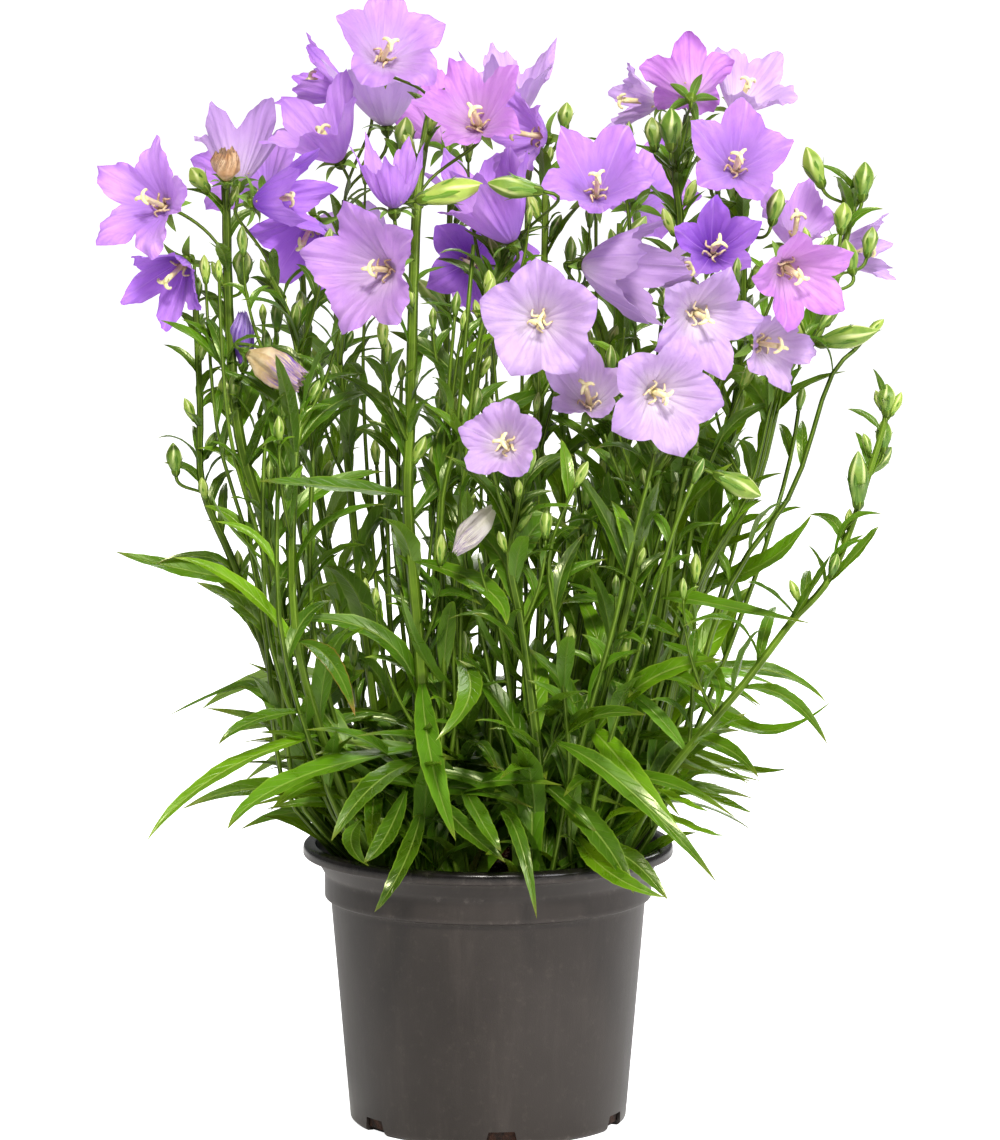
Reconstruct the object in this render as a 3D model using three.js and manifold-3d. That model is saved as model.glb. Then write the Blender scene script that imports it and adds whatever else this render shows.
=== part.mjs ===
// A potted peach-leaved bellflower in millimetres, Z up.
// The origin is the middle of the pot's underside, and -Y is the side that faces the viewer.

import * as THREE from 'three';
import Module from 'manifold-3d';

const wasm = await Module();
wasm.setup();

// Pot and potting mix
const POT_HEIGHT = 130;
const POT_FOOT_RADIUS = 64;
const POT_BODY_TOP = 104;
const POT_BODY_RADIUS = 72.8;
const BAND_RADIUS = 75.6;
const BAND_TOP = 116;
const COLLAR_RADIUS = 80;
const LIP_FOOT = 123.6;
const LIP_RADIUS = 85.5;
const WALL = 1.5;
const POT_SIDES = 24;
const NOTCHES = 6;
const NOTCH_WIDTH = 16;
const NOTCH_HEIGHT = 7;
const NOTCH_TURN = THREE.MathUtils.degToRad(5.6);
const MIX_TOP = 113;
const MIX_SIDES = 24;
const GAP = 0.3;

// Plant
const CROWN_RADIUS = 7;
const CROWN_FOOT = 94;
const CROWN_TOP = 119;
const STEM_FOOT = 100;
const STEM_RADIUS = 2;
const STEM_TOP_RADIUS = 1;
const STEM_STEPS = 7;
const PEDICEL_RADIUS = 0.9;
const CALYX_LENGTH = 5;
const CALYX_RADIUS = 3;
const SEPAL_LENGTH = 14;
const PETAL_THICKNESS = 0.75;
const STYLE_LENGTH = 17;
const STIGMA_REACH = 1.8;
const LOBES = 5;
const BLADE_THICKNESS = 0.9;
const EDGE_LIFT = 0.2;
const LEAF_ROLL = 0.7;
const ROLL_DIVIDE = 18;
const CLEARANCE = 0.4;

const GREEN_STEM = 0x6e9632;
const GREEN_LEAF = 0x46821e;
const PALE = 0xd7b9f0;
const VIOLET = 0xbe91eb;
const DEEP = 0x8c5ad2;
const PINK = 0xe1aaf0;
const BEIGE = 0xd8c496;
const BROWN = 0x8a5a30;

// Crowns: the stems that rise from each, and its middle on the potting mix
const CROWNS = {
  left: { at: [-56, -8], stems: ['a', 'b'], leaves: 4, face: 200 },
  left_front: { at: [-47, -31], stems: ['c'], leaves: 4, face: 235 },
  left_back: { at: [-42, 24], stems: ['e', 'q'], leaves: 4, face: 150 },
  middle_left: { at: [-30, -36], stems: ['d'], leaves: 4, face: 250 },
  middle: { at: [-8, -28], stems: ['f'], leaves: 3, face: 260 },
  middle_right: { at: [18, -12], stems: ['g', 'i'], leaves: 3, face: 280 },
  front: { at: [20, -54], stems: ['h'], leaves: 4, face: 270 },
  right_front: { at: [42, -42], stems: ['j', 'l'], leaves: 5, face: 300 },
  right: { at: [57, -14], stems: ['n', 'o'], leaves: 4, face: 340 },
  right_back: { at: [52, 18], stems: ['k', 'm'], leaves: 4, face: 20 },
  back_left: { at: [-8, 36], stems: ['r'], leaves: 4, face: 110 },
  back_right: { at: [22, 46], stems: ['s'], leaves: 4, face: 70 },
};

// Stems: the points each one passes after it leaves the potting mix
const STEMS = {
  a: [[-86, -24, 158], [-92, -30, 223], [-99, -33, 272], [-112, -31, 319],
    [-117, -20, 368], [-119, -8, 433]],
  b: [[-81, -2, 149], [-104, -10, 225], [-117, -16, 263], [-130, -19, 297],
    [-131, -15, 336], [-134, -2, 392]],
  c: [[-65, -41, 156], [-86, -59, 232], [-87, -48, 308], [-83, -37, 338], [-88, -25, 368], [-99, -22, 395]],
  d: [[-30, -33, 154], [-30, -39, 211], [-36, -40, 288], [-35, -36, 329], [-32, -18, 426], [-25, 4, 473]],
  e: [[-48, 22, 146], [-59, 31, 238], [-67, 39, 321], [-70, 37, 377], [-66, 30, 424]],
  f: [[-12, -25, 153], [-15, -29, 237], [-11, -31, 292], [-4, -28, 357], [3, -26, 387], [11, -22, 399]],
  g: [[19, -11, 151], [24, -17, 235], [24, -18, 290], [24, -13, 336], [26, -8, 413], [26, -2, 444]],
  h: [[23, -54, 158], [22, -66, 185], [15, -76, 241], [10, -79, 270], [13, -81, 293], [16, -84, 311]],
  i: [[35, -12, 151], [50, -16, 221], [57, -18, 268], [59, -12, 311], [55, -4, 344], [49, -4, 371]],
  j: [[40, -46, 156], [47, -53, 190], [60, -61, 237], [70, -62, 282], [78, -61, 313], [81, -62, 329]],
  k: [[54, 22, 151], [73, 24, 240], [81, 24, 332], [88, 18, 407], [86, 14, 437], [91, 10, 464]],
  l: [[57, -34, 154], [76, -39, 229], [84, -41, 293], [92, -40, 325], [96, -38, 349], [96, -36, 363]],
  m: [[66, 12, 152], [93, 12, 241], [110, 10, 310], [116, 8, 357], [117, 6, 398], [116, 8, 423]],
  n: [[74, -14, 152], [95, -24, 247], [121, -24, 296], [135, -18, 347], [152, -8, 368],
    [165, 6, 414], [169, 10, 428]],
  o: [[69, -34, 145], [84, -62, 175], [113, -83, 214], [134, -88, 243], [154, -88, 268],
    [174, -78, 324], [177, -75, 339]],
  q: [[-52, 38, 150], [-72, 62, 240], [-84, 76, 320], [-88, 82, 396]],
  r: [[-10, 46, 150], [-16, 70, 240], [-20, 84, 330], [-18, 88, 420]],
  s: [[28, 58, 150], [44, 78, 240], [58, 86, 320], [62, 84, 410]],
};

// Blooms: stem, calyx top, way it faces, width, depth, how far open, reach of the edge between two lobes
// as a share of the lobes' reach, turn in degrees, height of its stalk, tint
const BLOOMS = {
  '01': ['d', [-48, 2, 489], [0.2, -0.8, 0.5], 54, 24, 0.75, 0.6, 19, 18, PALE],
  '02': ['e', [-66, 57, 472], [-0.85, -0.2, 0.4], 35, 25, 0.4, 0.55, 40, 30, VIOLET],
  '03': ['e', [-47, 36, 458], [-0.1, -0.1, 0.98], 52, 32, 0.4, 0.55, 34, 26, VIOLET],
  '04': ['e', [-68, 2, 444], [-0.42, -0.4, 0.8], 52, 30, 0.5, 0.55, 20, 20, VIOLET],
  '05': ['d', [-42, -50, 425], [-0.08, -0.15, 1], 34, 33, 0.1, 0.5, 54, 26, VIOLET],
  '06': ['a', [-115, 26, 432], [0.03, 0.45, 0.9], 46, 32, 0.5, 0.55, 54, 26, PALE],
  '07': ['a', [-146, -18, 424], [-0.48, -0.82, 0.25], 58, 24, 0.85, 0.42, 8, 30, VIOLET],
  '08': ['b', [-138, -6, 398], [-0.4, -0.75, -0.45], 40, 24, 0.5, 0.5, 46, 14, DEEP],
  '09': ['c', [-105, -38, 427], [0.9, -0.35, 0.15], 38, 32, 0.3, 0.55, 70, 20, VIOLET],
  '10': ['e', [-80, 12, 415], [-0.3, -0.75, -0.55], 48, 26, 0.5, 0.55, 10, 18, DEEP],
  '11': ['d', [-44, -56, 398], [-0.5, -0.85, 0.08], 60, 24, 0.9, 0.62, 28, 28, PALE],
  '12': ['r', [-3, 50, 412], [-0.15, -0.2, 1], 46, 30, 0.4, 0.55, 54, 24, VIOLET],
  '13': ['d', [-4, -22, 460], [-0.15, -0.8, 0.5], 52, 26, 0.7, 0.45, 40, 34, PINK],
  '14': ['g', [10, 30, 459], [0.0, -0.3, 0.93], 46, 38, 0.35, 0.5, 34, 26, PALE],
  '15': ['g', [26, 3, 454], [-0.65, -0.5, 0.12], 42, 22, 0.5, 0.5, 30, 14, VIOLET],
  '16': ['f', [11, -34, 409], [-0.42, -0.1, 0.9], 48, 34, 0.4, 0.55, 54, 12, VIOLET],
  '17': ['f', [-8, 22, 396], [0.05, -0.9, 0.05], 46, 26, 0.5, 0.55, 60, 72, DEEP],
  '18': ['i', [49, -24, 429], [0.0, -0.8, 0.55], 50, 25, 0.65, 0.6, 59, 30, VIOLET],
  '19': ['i', [43, -18, 398], [0.88, -0.35, -0.12], 50, 38, 0.25, 0.6, 8, 20, VIOLET],
  '20': ['g', [23, -74, 377], [0, -1, 0.08], 54, 20, 1, 0.76, 21, 30, PALE],
  '21': ['h', [9, -98, 323], [-0.2, -0.93, 0.3], 38, 18, 0.8, 0.72, 19, 18, PINK],
  '22': ['i', [46, -45, 336], [-0.1, -0.75, 0.6], 40, 24, 0.5, 0.5, 18, 18, VIOLET],
  '23': ['j', [73, -82, 346], [0.3, -0.92, -0.05], 55, 20, 0.95, 0.66, 69, 16, PALE],
  '24': ['l', [92, -66, 380], [0.25, -0.9, -0.12], 52, 22, 0.8, 0.52, 68, 18, PALE],
  '25': ['k', [92, -3, 473], [-0.05, 0.88, 0.4], 44, 24, 0.7, 0.55, 18, 14, PINK],
  '26': ['k', [79, 44, 468], [-0.85, -0.2, 0.1], 32, 22, 0.4, 0.55, 18, 18, VIOLET],
  '27': ['k', [115, 52, 464], [0.3, -0.5, 0.75], 46, 24, 0.6, 0.6, 28, 26, PALE],
  '28': ['m', [112, -10, 440], [0.05, -0.9, 0.42], 50, 26, 0.6, 0.6, 8, 26, VIOLET],
  '29': ['m', [101, -33, 404], [0.1, -0.9, 0.35], 39, 24, 0.4, 0.55, 23, 24, DEEP],
  '30': ['n', [132, -56, 400], [0.35, -0.85, -0.2], 48, 22, 0.8, 0.55, 35, 26, PINK],
  '31': ['n', [140, 20, 404], [0.1, -0.55, 0.8], 42, 24, 0.5, 0.55, 60, 24, PINK],
  '32': ['n', [121, -40, 364], [0.5, -0.8, -0.02], 40, 22, 0.8, 0.5, 64, 26, PALE],
  '33': ['n', [160, 40, 399], [0.9, -0.2, 0.1], 30, 24, 0.3, 0.5, 0, 16, PALE],
  '34': ['l', [77, 12, 388], [0.8, -0.3, 0.35], 30, 24, 0.2, 0.5, 0, 20, VIOLET],
  '35': ['q', [-106, 88, 424], [-0.4, 0.75, 0.5], 54, 24, 0.8, 0.6, 12, 22, VIOLET],
  '36': ['q', [-66, 98, 392], [0.1, 0.95, 0.1], 52, 22, 0.9, 0.7, 40, 24, PALE],
  '37': ['r', [-20, 92, 446], [-0.1, 0.7, 0.7], 50, 26, 0.6, 0.6, 66, 18, PINK],
  '38': ['r', [-4, 104, 396], [0.15, 0.9, -0.3], 48, 28, 0.5, 0.55, 25, 22, VIOLET],
  '39': ['s', [70, 96, 418], [0.25, 0.85, 0.4], 54, 23, 0.8, 0.6, 50, 20, VIOLET],
};

// Buds and closed flowers: stem, foot, tip, width
const BUDS = [
  ['c', [-80, -20, 447], [-80, -20, 460], 9],
  ['d', [-38, -8, 451], [-37, -8, 464], 9],
  ['d', [-27, -38, 430], [-2, -38, 436], 11],
  ['f', [20, -38, 434], [0, -38, 437], 10],
  ['b', [-111, -18, 393], [-111, -18, 405], 9],
  ['m', [101, -28, 437], [100, -28, 454], 12],
  ['k', [83, -8, 453], [83, -8, 468], 10],
  ['k', [76, 14, 451], [75, 14, 463], 8],
  ['n', [151, 2, 435], [145, 2, 450], 9],
  ['n', [171, 6, 429], [172, 6, 443], 9],
  ['m', [129, -18, 419], [132, -18, 432], 8],
  ['n', [161, 8, 414], [162, 8, 425], 8],
  ['n', [153, -22, 363], [176, -22, 368], 10],
  ['i', [39, -45, 340], [60, -45, 341], 11],
  ['l', [105, -68, 306], [122, -68, 298], 10],
  ['o', [177, -77, 338], [177, -77, 349], 8],
  ['o', [164, -87, 298], [164, -87, 320], 9],
  ['o', [176, -79, 321], [176, -79, 333], 7],
  ['o', [171, -74, 310], [180, -74, 320], 7],
  ['b', [-142, -22, 305], [-143, -22, 317], 7],
  ['n', [166, 2, 395], [163, 2, 408], 8],
  ['n', [174, 10, 402], [176, 10, 413], 7],
  ['a', [-129, -8, 433], [-135, -8, 441], 8],
  ['g', [35, 8, 460], [36, 8, 470], 7],
  ['a', [-118, -25, 335], [-119, -25, 349], 8],
  ['q', [-92, 84, 404], [-94, 86, 420], 8],
  ['r', [-22, 76, 372], [-34, 80, 384], 8],
  ['s', [66, 76, 400], [74, 74, 414], 8],
];

// Furled, closing and withered flowers: stem, calyx top, tip, width, how far the tip is drawn in, tint
const SPENT = {
  furled: ['b', [-111, -22, 353], [-111, -22, 376], 10, 0.35, DEEP],
  withered: ['c', [-108, -46, 360], [-84, -52, 348], 15, 0.7, BEIGE],
  closing: ['f', [3, -75, 294], [-14, -77, 274], 11, 0.3, PALE],
  dried: ['a', [-118, -20, 436], [-118, -24, 449], 12, 0.8, BROWN],
};

// Large leaves: stem, height where the leaf leaves it, middle, tip, width
const LEAVES = [
  ['b', 252, [-138, -21, 259], [-170, -24, 267], 10],
  ['c', 200, [-101, -82, 200], [-120, -97, 191], 8],
  ['c', 190, [-118, -90, 177], [-151, -117, 151], 9],
  ['d', 182, [-84, -87, 174], [-115, -120, 157], 14],
  ['d', 176, [-51, -91, 171], [-69, -115, 150], 11],
  ['e', 171, [-52, -57, 153], [-51, -82, 136], 8],
  ['d', 152, [-37, -94, 137], [-51, -104, 115], 9],
  ['d', 211, [-25, -78, 180], [-14, -109, 149], 11],
  ['f', 220, [-8, -83, 211], [-23, -105, 193], 11],
  ['j', 174, [52, -91, 176], [104, -140, 140], 10],
  ['j', 190, [62, -78, 177], [91, -110, 143], 11],
  ['i', 154, [53, -86, 141], [64, -104, 125], 10],
  ['j', 142, [54, -97, 133], [79, -112, 124], 9],
  ['h', 148, [17, -99, 135], [23, -106, 113], 8],
  ['d', 264, [-1, -71, 257], [8, -88, 242], 10],
  ['h', 184, [13, -93, 196], [-5, -116, 206], 8],
  ['i', 225, [40, -50, 241], [51, -56, 262], 20],
  ['l', 247, [96, -71, 251], [144, -98, 244], 9],
  ['k', 247, [97, -30, 218], [125, -58, 199], 9],
  ['l', 229, [101, -70, 219], [100, -88, 203], 7],
  ['n', 202, [123, -59, 191], [154, -68, 207], 7],
  ['o', 211, [133, -95, 211], [150, -113, 193], 7],
  ['l', 185, [99, -77, 187], [121, -107, 173], 9],
  ['n', 178, [95, -65, 176], [118, -83, 171], 8],
  ['m', 170, [99, -44, 159], [120, -57, 153], 8],
  ['o', 165, [86, -92, 164], [98, -116, 163], 7],
  ['o', 155, [90, -101, 154], [106, -121, 153], 7],
  ['m', 183, [114, -29, 169], [136, -45, 172], 7],
  ['o', 186, [103, -91, 197], [113, -104, 204], 8],
  ['m', 246, [128, -6, 261], [148, -8, 283], 13],
  ['m', 264, [123, -15, 276], [135, -19, 299], 8],
  ['o', 237, [143, -99, 259], [152, -103, 275], 7],
  ['o', 263, [165, -95, 278], [172, -96, 288], 6],
  ['a', 260, [-115, -45, 280], [-125, -55, 299], 8],
  ['d', 294, [-66, -66, 302], [-101, -94, 308], 11],
  ['a', 293, [-93, -14, 322], [-101, -4, 345], 10],
  ['c', 231, [-70, -94, 228], [-58, -120, 207], 9],
  ['e', 247, [-87, 2, 246], [-110, 23, 258], 9],
  ['g', 202, [6, -50, 221], [-8, -67, 251], 10],
  ['g', 183, [32, -72, 206], [45, -101, 215], 10],
  ['f', 202, [-30, -60, 227], [-39, -71, 256], 10],
  ['i', 229, [69, -48, 239], [86, -73, 234], 10],
  ['f', 165, [-3, -87, 155], [6, -102, 143], 9],
  ['g', 165, [32, -76, 162], [50, -97, 147], 9],
  ['e', 183, [-68, -13, 188], [-93, -24, 179], 9],
  ['q', 190, [-96, 82, 196], [-138, 104, 176], 11],
  ['r', 176, [-34, 92, 176], [-52, 126, 150], 12],
  ['s', 186, [56, 98, 190], [84, 128, 160], 12],
  ['s', 160, [24, 104, 156], [14, 122, 128], 10],
  ['k', 176, [92, 58, 186], [130, 82, 168], 11],
  ['e', 168, [-78, 44, 168], [-116, 60, 148], 10],
  ['m', 200, [124, 30, 206], [160, 44, 188], 9],
  ['b', 190, [-112, 14, 200], [-150, 30, 182], 9],
  ['r', 236, [-22, 98, 252], [-28, 124, 262], 10],
];

const vec = (x, y, z) => new THREE.Vector3(x, y, z);
const at = (place) => new THREE.Vector3(...place);
const UP = vec(0, 0, 1);

// A steady draw from 0 to 1 for item a, use b
function draw(a, b) {
  const value = Math.sin(a * 127.1 + b * 311.7) * 43758.5453;
  return value - Math.floor(value);
}

// A closed body from points and triangles, turned so that its faces point out
function solid(points, faces) {
  let volume = 0;
  for (const [a, b, c] of faces) {
    volume += points[a].dot(points[b].clone().cross(points[c]));
  }
  const outward = volume > 0 ? faces : faces.map(([a, b, c]) => [a, c, b]);
  return new wasm.Manifold(new wasm.Mesh({
    numProp: 3,
    vertProperties: new Float32Array(points.flatMap((point) => point.toArray())),
    triVerts: new Uint32Array(outward.flat()),
  }));
}

// Triangles between two rings of points, where one holds a whole number of times the other's
function joinRings(faces, a, countA, b, countB) {
  if (countA > countB) {
    const mirrored = [];
    joinRings(mirrored, b, countB, a, countA);
    faces.push(...mirrored.map(([p, q, r]) => [p, r, q]));
    return;
  }
  const ratio = countB / countA;
  for (let i = 0; i < countA; i++) {
    const far = (j) => b + (ratio * i + j) % countB;
    const next = a + (i + 1) % countA;
    const half = Math.floor(ratio / 2);
    for (let j = 0; j < half; j++) faces.push([a + i, far(j + 1), far(j)]);
    if (countA > 1) faces.push([a + i, next, far(half)]);
    for (let j = half; j < ratio; j++) faces.push([next, far(j + 1), far(j)]);
  }
}

// A closed body through rings of points, with a flat cap or a point at each end
function loft(rings) {
  const faces = [];
  const starts = [];
  let total = 0;
  for (const ring of rings) {
    starts.push(total);
    total += ring.length;
  }
  const last = rings.length - 1;
  for (let i = 1; i < rings[0].length - 1; i++) faces.push([0, i + 1, i]);
  for (let k = 0; k < last; k++) {
    joinRings(faces, starts[k], rings[k].length, starts[k + 1], rings[k + 1].length);
  }
  for (let i = 1; i < rings[last].length - 1; i++) {
    faces.push([starts[last], starts[last] + i, starts[last] + i + 1]);
  }
  return solid(rings.flat(), faces);
}

// A round body along points, with a radius at each, and a point where the radius is 0
function along(points, radii, sides) {
  let side = Math.abs(points[1].y - points[0].y) > 0.8 * points[1].distanceTo(points[0])
    ? vec(1, 0, 0) : vec(0, 1, 0);
  const rings = points.map((point, i) => {
    const ahead = points[Math.min(i + 1, points.length - 1)];
    const behind = points[Math.max(i - 1, 0)];
    const tangent = ahead.clone().sub(behind).normalize();
    side = side.clone().addScaledVector(tangent, -side.dot(tangent)).normalize();
    const other = tangent.clone().cross(side);
    if (radii[i] === 0) return [point.clone()];
    return Array.from({ length: sides }, (_, k) => {
      const turn = 2 * Math.PI * k / sides;
      return point.clone().addScaledVector(side, radii[i] * Math.cos(turn))
        .addScaledVector(other, radii[i] * Math.sin(turn));
    });
  });
  return loft(rings);
}

// A solid of revolution from its outline, given as radius and height
function turned(outline, sides) {
  const rings = outline.map(([radius, height]) => {
    if (radius === 0) return [vec(0, 0, height)];
    return Array.from({ length: sides }, (_, k) => {
      const turn = 2 * Math.PI * k / sides;
      return vec(radius * Math.cos(turn), radius * Math.sin(turn), height);
    });
  });
  return loft(rings);
}

// Each node's bodies, kept apart until they are fused at the end
const nodes = new Map();

function keep(name, body, color, roughness = 0.6, free = false) {
  if (!nodes.has(name)) nodes.set(name, { bodies: [], color, roughness });
  nodes.get(name).bodies.push({ body, box: body.boundingBox(), free });
}

// Whether a body lies clear of every other node, or its free part clear of the blades on its own
function isClear(name, body, ofOwn) {
  const box = body.boundingBox();
  for (const [other, node] of nodes) {
    if ((other === name) !== ofOwn) continue;
    for (const piece of node.bodies) {
      if (ofOwn && !piece.free) continue;
      const apart = [0, 1, 2].some((k) => box.min[k] > piece.box.max[k] || box.max[k] < piece.box.min[k]);
      if (apart) continue;
      const shared = body.intersect(piece.body);
      const empty = shared.isEmpty();
      shared.delete();
      if (!empty) return false;
    }
  }
  return true;
}

// Pot: a thin round shell with a stepped collar, a rolled lip and notches under its foot
const innerOutline = [
  [POT_FOOT_RADIUS - WALL, WALL + 0.3],
  [POT_BODY_RADIUS - WALL, POT_BODY_TOP + 0.6],
  [BAND_RADIUS - WALL, POT_BODY_TOP + 1.4],
  [BAND_RADIUS - WALL, BAND_TOP - 0.4],
  [COLLAR_RADIUS - WALL, LIP_FOOT + 0.4],
];
const potOutline = [
  [0, 0],
  [POT_FOOT_RADIUS - 1.4, 0],
  [POT_FOOT_RADIUS, 1.4],
  [POT_BODY_RADIUS, POT_BODY_TOP],
  [BAND_RADIUS, POT_BODY_TOP + 0.8],
  [BAND_RADIUS, BAND_TOP],
  [COLLAR_RADIUS, LIP_FOOT],
  [LIP_RADIUS, LIP_FOOT + 1],
  [LIP_RADIUS, POT_HEIGHT - 1.4],
  [LIP_RADIUS - 1.5, POT_HEIGHT],
  [COLLAR_RADIUS, POT_HEIGHT],
  ...innerOutline.toReversed(),
  [0, WALL + 0.3],
];
let pot = turned(potOutline, POT_SIDES);
for (let i = 0; i < NOTCHES; i++) {
  const turn = -Math.PI / 2 + NOTCH_TURN + 2 * Math.PI * i / NOTCHES;
  const out = vec(Math.cos(turn), Math.sin(turn), 0);
  const across = vec(-out.y, out.x, 0);
  const corner = (reach, shift, height) => out.clone().multiplyScalar(POT_FOOT_RADIUS + reach)
    .addScaledVector(across, shift).setZ(height);
  const half = NOTCH_WIDTH / 2;
  pot = pot.subtract(loft([-5, 6].map((reach) => [
    corner(reach, -half, -1),
    corner(reach, half, -1),
    corner(reach, half - 2, NOTCH_HEIGHT),
    corner(reach, -half + 2, NOTCH_HEIGHT),
  ])));
}
keep('pot', pot, 0x4e4845, 0.5);

// Potting mix: it fills the pot to below the lip, with a lumpy top and a plain hole for each crown
const mixHeight = (k, ring) => MIX_TOP + 3 * (draw(k, ring) - 0.4);
const ringOf = (count, radius, height) => Array.from({ length: count }, (_, k) => {
  const turn = 2 * Math.PI * k / count;
  return vec(radius * Math.cos(turn), radius * Math.sin(turn), height(k));
});
const steady = (height) => () => height;
let mix = loft([
  ringOf(MIX_SIDES, innerOutline[0][0] - 0.5, steady(innerOutline[0][1] + GAP)),
  ringOf(MIX_SIDES, innerOutline[1][0] - 0.5, steady(innerOutline[1][1] + 0.5)),
  ringOf(MIX_SIDES, innerOutline[2][0] - 0.5, steady(innerOutline[2][1] + 0.5)),
  ringOf(MIX_SIDES, innerOutline[2][0] - 0.5, steady(MIX_TOP - 1)),
  ringOf(MIX_SIDES, 0.78 * BAND_RADIUS, (k) => mixHeight(k, 1)),
  ringOf(MIX_SIDES / 2, 0.48 * BAND_RADIUS, (k) => mixHeight(k, 2)),
  [vec(0, 0, MIX_TOP)],
]);
for (const { at: [x, y] } of Object.values(CROWNS)) {
  const hole = CROWN_RADIUS + GAP * 1.4;
  mix = mix.subtract(along([vec(x, y, CROWN_FOOT - GAP), vec(x, y, POT_HEIGHT)], [hole, hole], 5));
}
keep('potting_mix', mix, 0x3c2418, 0.95);

// Leafy stems: one crown in the mix holds one or two of them
const crownOf = {};
const stemLine = {};
const stemRadius = (t) => THREE.MathUtils.lerp(STEM_RADIUS, STEM_TOP_RADIUS, t);
for (const [name, crown] of Object.entries(CROWNS)) {
  const [x, y] = crown.at;
  const node = `leafy_stem_${name}`;
  const crownPoints = [CROWN_FOOT, MIX_TOP, CROWN_TOP].map((z) => vec(x, y, z));
  keep(node, along(crownPoints, [CROWN_RADIUS, CROWN_RADIUS, CROWN_RADIUS - 3], 5), GREEN_LEAF);
  crown.stems.forEach((letter, i) => {
    const points = STEMS[letter].map(at);
    const spread = crown.stems.length > 1 ? 3 : 0;
    const way = points[0].clone().sub(vec(x, y, points[0].z)).normalize().multiplyScalar(spread);
    const foot = vec(x + way.x, y + way.y, STEM_FOOT);
    const curve = new THREE.CatmullRomCurve3([foot, foot.clone().setZ(CROWN_TOP), ...points],
      false, 'catmullrom', 0.5);
    const start = 1 / (points.length + 1);
    const climb = (k) => start + (1 - start) * k / (STEM_STEPS - 1);
    const steps = [0, ...Array.from({ length: STEM_STEPS }, (_, k) => climb(k))];
    const line = steps.map((t) => ({ t, point: curve.getPoint(t) }));
    keep(node, along(line.map(({ point }) => point), steps.map(stemRadius), 3), GREEN_STEM);
    crownOf[letter] = node;
    stemLine[letter] = line;
  });
}

// The point at a share t of a stem's length
function onStem(letter, t) {
  const line = stemLine[letter];
  const i = Math.max(1, line.findIndex((knot) => knot.t >= t));
  const share = (t - line[i - 1].t) / (line[i].t - line[i - 1].t);
  return line[i - 1].point.clone().lerp(line[i].point, share);
}

// The share of a stem's length at which it reaches a given height
function atHeight(letter, height) {
  const line = stemLine[letter];
  const i = line.findIndex(({ point }) => point.z >= height);
  if (i < 1) return 0.99;
  const share = (height - line[i - 1].point.z) / (line[i].point.z - line[i - 1].point.z);
  return THREE.MathUtils.lerp(line[i - 1].t, line[i].t, share);
}

// Two level directions at right angles to a way, and to each other
function crossways(way) {
  const side = Math.abs(way.z) < 0.95 ? UP.clone().cross(way).normalize() : vec(1, 0, 0);
  return [side, way.clone().cross(side).normalize()];
}

// A ring of points round a place, with a radius and a rise for each point
function ringRound(place, way, count, turn, radius, rise) {
  const [side, other] = crossways(way);
  return Array.from({ length: count }, (_, k) => {
    const angle = turn + 2 * Math.PI * k / count;
    return place.clone().addScaledVector(way, rise(k))
      .addScaledVector(side, radius(k) * Math.cos(angle))
      .addScaledVector(other, radius(k) * Math.sin(angle));
  });
}

// Rings, at some shares, of a stalk that leaves a stem and ends at a foot, running along a given way
function stalkRings(letter, foot, way, drop, turn, shares) {
  const t = atHeight(letter, Math.min(foot.z - drop, onStem(letter, 1).z - 2));
  const start = onStem(letter, t);
  const reach = start.distanceTo(foot);
  const stalk = new THREE.CubicBezierCurve3(start,
    start.clone().addScaledVector(UP, 0.4 * reach),
    foot.clone().addScaledVector(way, -0.4 * reach), foot);
  return shares.map((u) => ringRound(stalk.getPoint(u), way.clone().lerp(UP, 1 - u).normalize(),
    LOBES, turn, steady(PEDICEL_RADIUS * (0.6 + 0.4 * u)), steady(0)));
}

// A calyx on its stalk: a cup with five narrow sepals, which spread to a reach and a rise
function calyxRings(letter, top, way, drop, turn, shares, size, reach, rise) {
  const foot = top.clone().addScaledVector(way, -CALYX_LENGTH * size);
  const star = (k) => k % 2 === 0;
  return [
    ...stalkRings(letter, foot, way, drop, turn, shares),
    ringRound(top, way, LOBES, turn, steady(0.5 * CALYX_RADIUS * size), steady(-CALYX_LENGTH * size)),
    ringRound(top, way, 2 * LOBES, turn, (k) => (star(k) ? reach : CALYX_RADIUS * size),
      (k) => (star(k) ? rise : -0.3 * CALYX_LENGTH * size)),
  ];
}

// Corolla outline at s from the throat, 0, to a lobe's tip, 1: radius and height as shares
function petalOutline(open, s) {
  const bell = 0.13 + 0.62 * (1 - (1 - s) ** 3) + 0.25 * s ** 3;
  const dish = 0.13 + 0.87 * s ** 0.9;
  const rise = THREE.MathUtils.lerp(s ** 1.25, 1 - (1 - s) ** 2, open);
  return [THREE.MathUtils.lerp(bell, dish, open), rise];
}

// Reach of the corolla's edge between two lobes, u = 1, and at a lobe's middle, u = 0
const lobeReach = (u, cut) => cut + (1 - cut) * (0.6 * (1 - u ** 2.2) + 0.4 * (1 - u) ** 1.2);

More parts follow.
